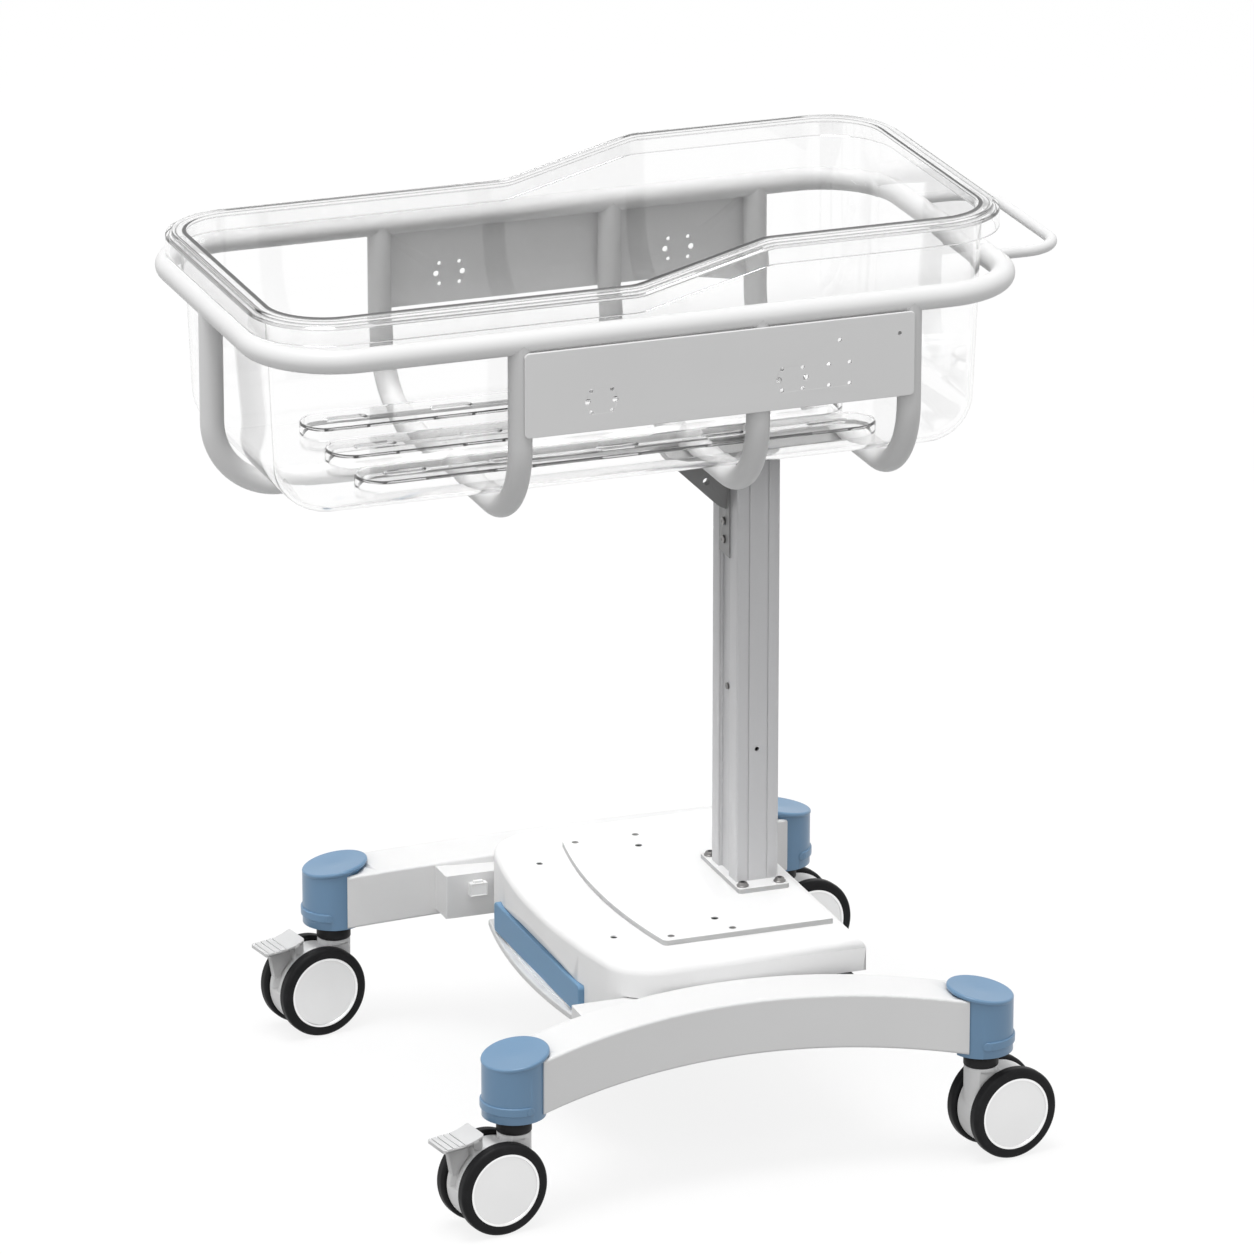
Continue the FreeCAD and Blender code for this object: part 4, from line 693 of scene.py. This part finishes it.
class BASSINET_OT_bumper(bpy.types.Operator):
    """Let the flat blue bumper into the curved foot skirt, with the skirt relieved above it"""
    bl_idname = "bassinet.bumper"
    bl_label = "Bumper"

    CORNER = 0.005               # radius of the plate's corners
    FRONT_EDGE = 0.0016          # radius round its front
    SMOOTH = 30.0                # degrees up to which the plate's edges are smooth
    GAP = 0.0004                 # clearance round the plate
    HOLD = 0.0005                # how far the plate's back passes the pocket's
    AHEAD = 0.02                 # how far in front of the plate the cutters start
    RELIEF_BACK = 0.0048         # plate's front to the relief's foot
    RELIEF_HALF = 0.128          # half the relief's width
    RELIEF_DIP = 0.001           # how far the relief's cutter reaches down past the plate's top
    LINING_HALF = 0.124          # half the lining's width
    LINING_BACK = 0.003          # how far the lining reaches behind the plate
    LINING_IN = 0.0003           # how far the lining stays inside the skirt
    DRUM_SIDES = 1024
    DRUM_HEIGHT = 0.2

    def corners(self, s):
        """The plate's two corners, from its solid's."""
        low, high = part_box("foot_bumper")
        front = low[0] + s.bumper_set
        return ((front, low[1], low[2] - s.bumper_drop),
                (front + s.bumper_plate, high[1] + s.bumper_longer, high[2] - 2 * s.bumper_drop))

    def plate(self, low, high):
        """Flat plate with round corners and a softened front."""
        plate = block("bumper_plate", low, high)
        pick(plate, lambda a, b: abs(a.x - b.x) > TOUCH, "EDGE")
        bpy.ops.mesh.bevel(offset=self.CORNER, segments=5, affect="EDGES")
        pick(plate, lambda a, b: max(a.x, b.x) < low[0] + TOUCH, "EDGE")
        bpy.ops.mesh.bevel(offset=self.FRONT_EDGE, segments=3, affect="EDGES")
        bpy.ops.object.mode_set(mode="OBJECT")
        finish_of(plate, FINISHES["bumper_blue"])
        shade(plate, self.SMOOTH)
        stands_for(plate, "foot_bumper")

    def wedge(self, name, low, high, face, lean):
        """A block whose face at one x leans towards the foot end as it rises."""
        wedge = block(name, low, high)
        pick(wedge, lambda co: co.z > high[2] - TOUCH and abs(co.x - face) < TOUCH)
        bpy.ops.transform.translate(value=(-lean, 0, 0))
        bpy.ops.object.mode_set(mode="OBJECT")
        finish_of(wedge, FINISHES["base_white"])
        return wedge

    def seat(self, low, high, s):
        """Pocket for the plate and the leaning relief above it, cut into the base cover."""
        cover = bpy.data.objects["base_cover_skin"]
        ahead, face = low[0] - self.AHEAD, low[0] + self.RELIEF_BACK
        pocket = block("pocket", (ahead, low[1] - self.GAP, low[2] - self.GAP),
                       (high[0] - self.HOLD, high[1] + self.GAP, high[2] + self.GAP))
        finish_of(pocket, FINISHES["base_white"])
        joined_by(cover, pocket, "DIFFERENCE")
        relief = self.wedge("relief", (ahead, -self.RELIEF_HALF, high[2] - self.RELIEF_DIP),
                            (face, self.RELIEF_HALF, high[2] + s.relief_rise), face, s.relief_lean)
        joined_by(cover, relief, "DIFFERENCE")
        shade(cover, BASSINET_OT_skins.SMOOTH)

    def lining(self, low, high, s):
        """Wall behind the relief, cut off where it would come out of the curved skirt."""
        face = low[0] + self.RELIEF_BACK
        lean = s.relief_lean * (s.relief_rise - self.GAP) / (s.relief_rise + self.RELIEF_DIP)
        lining = self.wedge("relief_lining", (face, -self.LINING_HALF, high[2] + self.GAP),
                            (high[0] + self.LINING_BACK, self.LINING_HALF, high[2] + s.relief_rise),
                            face, lean)
        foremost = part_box("base_cover")[0][0] + self.LINING_IN
        drum = fresh("drum", bpy.ops.mesh.primitive_cylinder_add, vertices=self.DRUM_SIDES,
                     radius=s.skirt_radius, depth=self.DRUM_HEIGHT,
                     location=(foremost + s.skirt_radius, 0, high[2]))
        joined_by(lining, drum, "INTERSECT")
        goes_with(lining, "base_cover")

    def execute(self, context):
        s = context.scene.bassinet_sizes
        low, high = self.corners(s)
        self.plate(low, high)
        self.seat(low, high, s)
        self.lining(low, high, s)
        return {"FINISHED"}


class BASSINET_OT_catch(bpy.types.Operator):
    """Put the lid and the tab of the catch on the far joint block"""
    bl_idname = "bassinet.catch"
    bl_label = "Catch"

    BEHIND_HEAD = 0.0595         # block's head end to the catch's middle
    INSIDE_FRONT = 0.006         # block's near side to the catch's middle
    HEIGHT = 0.174               # height of the catch's middle above the ground
    LID = ((-0.0099, -0.0074, -0.0074), (0.0099, 0.0005, 0.0074))    # corners from the catch's middle
    TAB = ((-0.0055, -0.0058, 0.006), (0.0055, -0.001, 0.0098))
    LID_RIM = 0.0018
    LID_DISH = 0.0008
    EDGE = 0.0005

    def part(self, name, corners):
        """A block between two corners that are given from the catch's middle."""
        low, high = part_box("joint_block_far")
        middle = (high[0] - self.BEHIND_HEAD, low[1] + self.INSIDE_FRONT, self.HEIGHT)
        return block(name, *([m + c for m, c in zip(middle, corner)] for corner in corners))

    def execute(self, context):
        lid, tab = self.part("catch_lid", self.LID), self.part("catch_tab", self.TAB)
        front = min(vertex.co.y for vertex in lid.data.vertices)
        alone(lid)
        pick(lid, lambda co: co.y < front + TOUCH)
        dished(self.LID_RIM, (0, self.LID_DISH, 0))
        for piece in (lid, tab):
            rounded(piece, self.EDGE, segments=1, angle=40)
            finish_of(piece, FINISHES["base_white"])
            goes_with(piece, "joint_block_far")
        return {"FINISHED"}


class BASSINET_OT_hole_shades(bpy.types.Operator):
    """Put dark discs in the base cover's holes and on every flange bolt: painted shade for the depth of the holes
    and the bolts' sockets
    """
    bl_idname = "bassinet.plugs"
    bl_label = "Hole and socket shades"

    DEPTH = 0.0012               # depth of a plug or socket
    DISH = 0.3                   # its rim and its dish, as a share of its radius and depth
    HOLES = ((-0.050, 0.226), (0.063, 0.232))    # x and top of the cover's two pairs of holes
    HOLE_Y = 0.115
    HOLE_RADIUS = 0.0038
    HOLE_SIDES = 32
    BOLT_IN = 0.0065             # bolts' box to a bolt's middle
    SOCKET_RADIUS = 0.0026
    SOCKET_PROUD = 0.0002        # how far a socket stands over its bolt

    def plug(self, name, radius, sides):
        """Dark disc under the origin with a dished top: painted shade for a hole's depth."""
        plug = fresh(name, bpy.ops.mesh.primitive_cylinder_add, vertices=sides, radius=radius,
                     depth=self.DEPTH, location=(0, 0, -self.DEPTH / 2))
        pick(plug, lambda co: co.z > -TOUCH)
        dished(radius * self.DISH, (0, 0, -self.DEPTH * self.DISH))
        finish_of(plug, FINISHES["hole_painted_shade"])
        return plug

    def execute(self, context):
        plug = self.plug("hole_shade_model", self.HOLE_RADIUS, self.HOLE_SIDES)
        for pair, (x, top) in enumerate(self.HOLES):
            for side, y in (("n", -self.HOLE_Y), ("f", self.HOLE_Y)):
                piece = copied(plug, "cover_hole_shade_%d%s" % (pair, side), (x, y, top - self.DEPTH))
                goes_with(piece, "base_cover")
        socket = self.plug("socket_shade_model", self.SOCKET_RADIUS, 6)
        low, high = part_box("flange_bolts")
        for x in (low[0] + self.BOLT_IN, high[0] - self.BOLT_IN):
            for y in (low[1] + self.BOLT_IN, high[1] - self.BOLT_IN):
                piece = copied(socket, "bolt_socket_shade", (x, y, high[2] + self.SOCKET_PROUD))
                goes_with(piece, "flange_bolts")
        for model in (plug, socket):
            bpy.data.objects.remove(model)
        return {"FINISHED"}


class BASSINET_OT_wheels(bpy.types.Operator):
    """Turn one tyre and one hub and lay copies of them on the casters' axles"""
    bl_idname = "bassinet.wheels"
    bl_label = "Wheels"

    SMOOTH = {"tyre": 40.0, "hub": 25.0}    # degrees up to which an edge is smooth
    TYRE_SIDES = 120
    SHOULDER_STEPS = 8           # faces round a shoulder
    TREAD = (-0.35, 0.0, 0.35)   # rings on the tread, as shares of half its width
    HUB_SIDES = 96
    CONE_STEPS = 5               # rings on the disc's cone
    DISC_FLAT = 0.0025           # radius of the disc's flat middle
    DISC_SINK = 0.0012           # ring's face to the foot of the cone
    DISC_GAP = 0.0006            # foot of the cone to the ring
    RING_EDGE = 0.0003           # bevel on the ring's inner edge
    SMALL_EDGE, LARGE_EDGE = 0.0002, 0.0008    # the two bevels on its outer edge
    HUB_WALL = 0.005             # thickness of the hub's wall behind the disc
    HUB_BOSS = 0.010             # radius of the boss round the axle
    BORE_GAP = 5e-5              # clearance round the axle

    def tyre(self, radius, s):
        """Tyre with rounded shoulders and a flat tread."""
        half, rim, shoulder = s.wheel_width / 2, radius - s.tyre_thickness, s.tyre_shoulder
        turns = [math.radians(90 * step / self.SHOULDER_STEPS) for step in range(self.SHOULDER_STEPS + 1)]
        outside = [(radius - shoulder * (1 - math.sin(turn)), half - shoulder * (1 - math.cos(turn)))
                   for turn in turns]
        inside = [(r, -z) for r, z in outside]
        tread = [(radius, share * half) for share in self.TREAD]
        profile = [(rim, -half), *inside, *tread, *reversed(outside), (rim, half)]
        tyre = turned("tyre_model", profile, self.TYRE_SIDES, True)
        finish_of(tyre, FINISHES["tyre_black"])
        return tyre

    def hub(self, radius, bore, s):
        """Hub with a coned disc inside a raised ring, and a boss round the axle behind it."""
        half, rim = s.wheel_width / 2, radius - s.tyre_thickness
        ring, foot, deep = rim - s.hub_ring, half - self.DISC_SINK, s.axle_depth - half
        run = ring - self.DISC_GAP - self.DISC_FLAT
        shares = [step / self.CONE_STEPS for step in range(self.CONE_STEPS + 1)]
        cone = [(self.DISC_FLAT + run * share, foot + s.hub_cone * (1 - share)) for share in shares]
        profile = [(0, foot + s.hub_cone), *cone,
                   (ring, half - self.SMALL_EDGE), (ring + self.RING_EDGE, half),
                   (rim - self.LARGE_EDGE, half), (rim - self.SMALL_EDGE, half - self.SMALL_EDGE),
                   (rim, half - self.LARGE_EDGE), (rim, -half),
                   (rim - self.HUB_WALL, -half), (rim - self.HUB_WALL, deep),
                   (self.HUB_BOSS, deep), (self.HUB_BOSS, -half), (bore, -half), (bore, deep), (0, deep)]
        hub = turned("hub_model", profile, self.HUB_SIDES, False)
        finish_of(hub, FINISHES["hub_white"])
        hub.data.materials.append(FINISHES["hub_ring"])
        for face in hub.data.polygons:
            face.material_index = int(math.hypot(face.center.x, face.center.y) > ring)
        return hub

    def execute(self, context):
        s = context.scene.bassinet_sizes
        centres = {joint["child"]: Vector(joint["pos_m"]) for joint in frame["joints"]
                   if joint["name"].endswith("_spin")}
        first = min(centres).split("_wheel_")[0]
        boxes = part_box(first + "_tyre_a"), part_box(first + "_axle")
        radius, axle = ((high[2] - low[2]) / 2 for low, high in boxes)
        models = {"tyre": self.tyre(radius, s), "hub": self.hub(radius, axle + self.BORE_GAP, s)}
        for body, centre in centres.items():
            stem, letter = body.split("_wheel_")
            twin = centres[stem + "_wheel_" + {"a": "b", "b": "a"}[letter]]
            for kind, model in models.items():
                node = "%s_%s_%s" % (stem, kind, letter)
                wheel = copied(model, node + "_turned", centre, (centre - twin).normalized())
                shade(wheel, self.SMOOTH[kind])
                stands_for(wheel, node)
        for model in models.values():
            bpy.data.objects.remove(model)
        return {"FINISHED"}


class BASSINET_OT_studio(bpy.types.Operator):
    """Floor, backdrop, lamps and camera"""
    bl_idname = "bassinet.studio"
    bl_label = "Studio"

    FLOOR_UNDER = 0.0005         # how far the floor lies under the tyres
    FLOOR_GLOW = 0.84            # share of plain white in the floor, as the camera sees it
    DAYLIGHT = 0.76              # strength of the white surroundings on the object
    TOP_LAMP = {"place": (-1.4, -1.2, 9.0), "aim": (0.0, 0.0, 0.4), "size": 4.0, "watts": 440.0}
    LEFT_LAMP = {"place": (-6.4, -3.2, 4.2), "aim": (0.0, 0.0, 0.5), "size": 3.6, "watts": 24.0}
    CAMERA_PLACE = (-3.0857, -8.3569, 3.6722)
    AZIMUTH, ELEVATION, ROLL = -20.3087, 19.4474, 0.0181    # camera's angles in degrees
    LENS, SENSOR = 257.94, 36.0                             # millimetres
    FARTHEST = 100.0

    def lamp(self, name, place, aim, size, watts):
        """Round soft lamp that looks at a point."""
        bpy.ops.object.light_add(type="AREA", location=place)
        lamp = bpy.context.object
        lamp.name = name
        lamp.data.shape = "DISK"
        lamp.data.size = size
        lamp.data.energy = watts
        lamp.rotation_euler = (Vector(aim) - Vector(place)).to_track_quat("-Z", "Y").to_euler()

    def floor(self, context):
        """Matt floor that looks white to the camera and keeps the object's shadow."""
        floor = fresh("studio_floor", bpy.ops.mesh.primitive_plane_add,
                      size=context.scene.bassinet_sizes.floor_size, location=(0, 0, -self.FLOOR_UNDER))
        colours = context.scene.bassinet_colours
        r = Recipe("studio_floor", Roughness=0.9, Specular_IOR_Level=0.0)
        white = r.in_view()
        r.link("Base Color", r.blend(white, colours.floor_paint, colours.backdrop))
        glow = r.node("ShaderNodeEmission", None, {"Color": (1, 1, 1, 1), "Strength": 1.0})
        r.mixed_with(white * self.FLOOR_GLOW, glow)
        finish_of(floor, r.material)

    def surroundings(self, context):
        """White all round, plain white to the camera and a little dimmer on the object."""
        context.scene.world = bpy.data.worlds.new("studio_light")
        tree = Tree(context.scene.world)
        background = tree.node_tree.nodes["Background"]
        tree.feed(background.inputs["Color"], (1, 1, 1, 1))
        tree.feed(background.inputs["Strength"], self.DAYLIGHT + tree.in_view() * (1.0 - self.DAYLIGHT))

    def camera(self, context):
        """Far camera with a long lens, turned by its two angles and a slight roll."""
        azimuth, elevation = math.radians(self.AZIMUTH), math.radians(self.ELEVATION)
        back = Vector((math.sin(azimuth) * math.cos(elevation), -math.cos(azimuth) * math.cos(elevation),
                       math.sin(elevation)))
        bpy.ops.object.camera_add(location=self.CAMERA_PLACE)
        camera = bpy.context.object
        camera.name = "studio_camera"
        camera.data.lens, camera.data.sensor_width = self.LENS, self.SENSOR
        camera.data.clip_end = self.FARTHEST
        level = (-back).to_track_quat("-Z", "Y").to_matrix()
        turn = Matrix.Rotation(math.radians(self.ROLL), 3, "Z")
        camera.rotation_mode = "QUATERNION"
        camera.rotation_quaternion = (level @ turn).to_quaternion()
        context.scene.camera = camera

    def execute(self, context):
        self.floor(context)
        self.surroundings(context)
        self.lamp("top_lamp", **self.TOP_LAMP)
        self.lamp("left_lamp", **self.LEFT_LAMP)
        self.camera(context)
        context.scene.view_settings.view_transform = "Standard"
        return {"FINISHED"}


class BASSINET_PT_panel(bpy.types.Panel):
    """Every operator, size and colour of the bassinet"""
    bl_idname = "BASSINET_PT_panel"
    bl_label = "Bassinet"
    bl_space_type = "VIEW_3D"
    bl_region_type = "UI"
    bl_category = "Bassinet"

    def draw(self, context):
        for operator in OPERATORS:
            self.layout.operator(operator.bl_idname)
        for group in (context.scene.bassinet_sizes, context.scene.bassinet_colours):
            for name in group.bl_rna.properties.keys():
                if name not in ("rna_type", "name"):
                    self.layout.prop(group, name)


OPERATORS = (BASSINET_OT_finishes, BASSINET_OT_skins, BASSINET_OT_tray, BASSINET_OT_bumper,
             BASSINET_OT_catch, BASSINET_OT_hole_shades, BASSINET_OT_wheels, BASSINET_OT_studio)
CLASSES = (BassinetSizes, BassinetColours, *OPERATORS, BASSINET_PT_panel)


def register():
    for cls in CLASSES:
        bpy.utils.register_class(cls)
    bpy.types.Scene.bassinet_sizes = PointerProperty(type=BassinetSizes)
    bpy.types.Scene.bassinet_colours = PointerProperty(type=BassinetColours)


def unregister():
    del bpy.types.Scene.bassinet_colours
    del bpy.types.Scene.bassinet_sizes
    for cls in reversed(CLASSES):
        bpy.utils.unregister_class(cls)


def main():
    register()
    for operator in OPERATORS:
        area, name = operator.bl_idname.split(".")
        getattr(getattr(bpy.ops, area), name)()


if __name__ == "__main__":
    main()
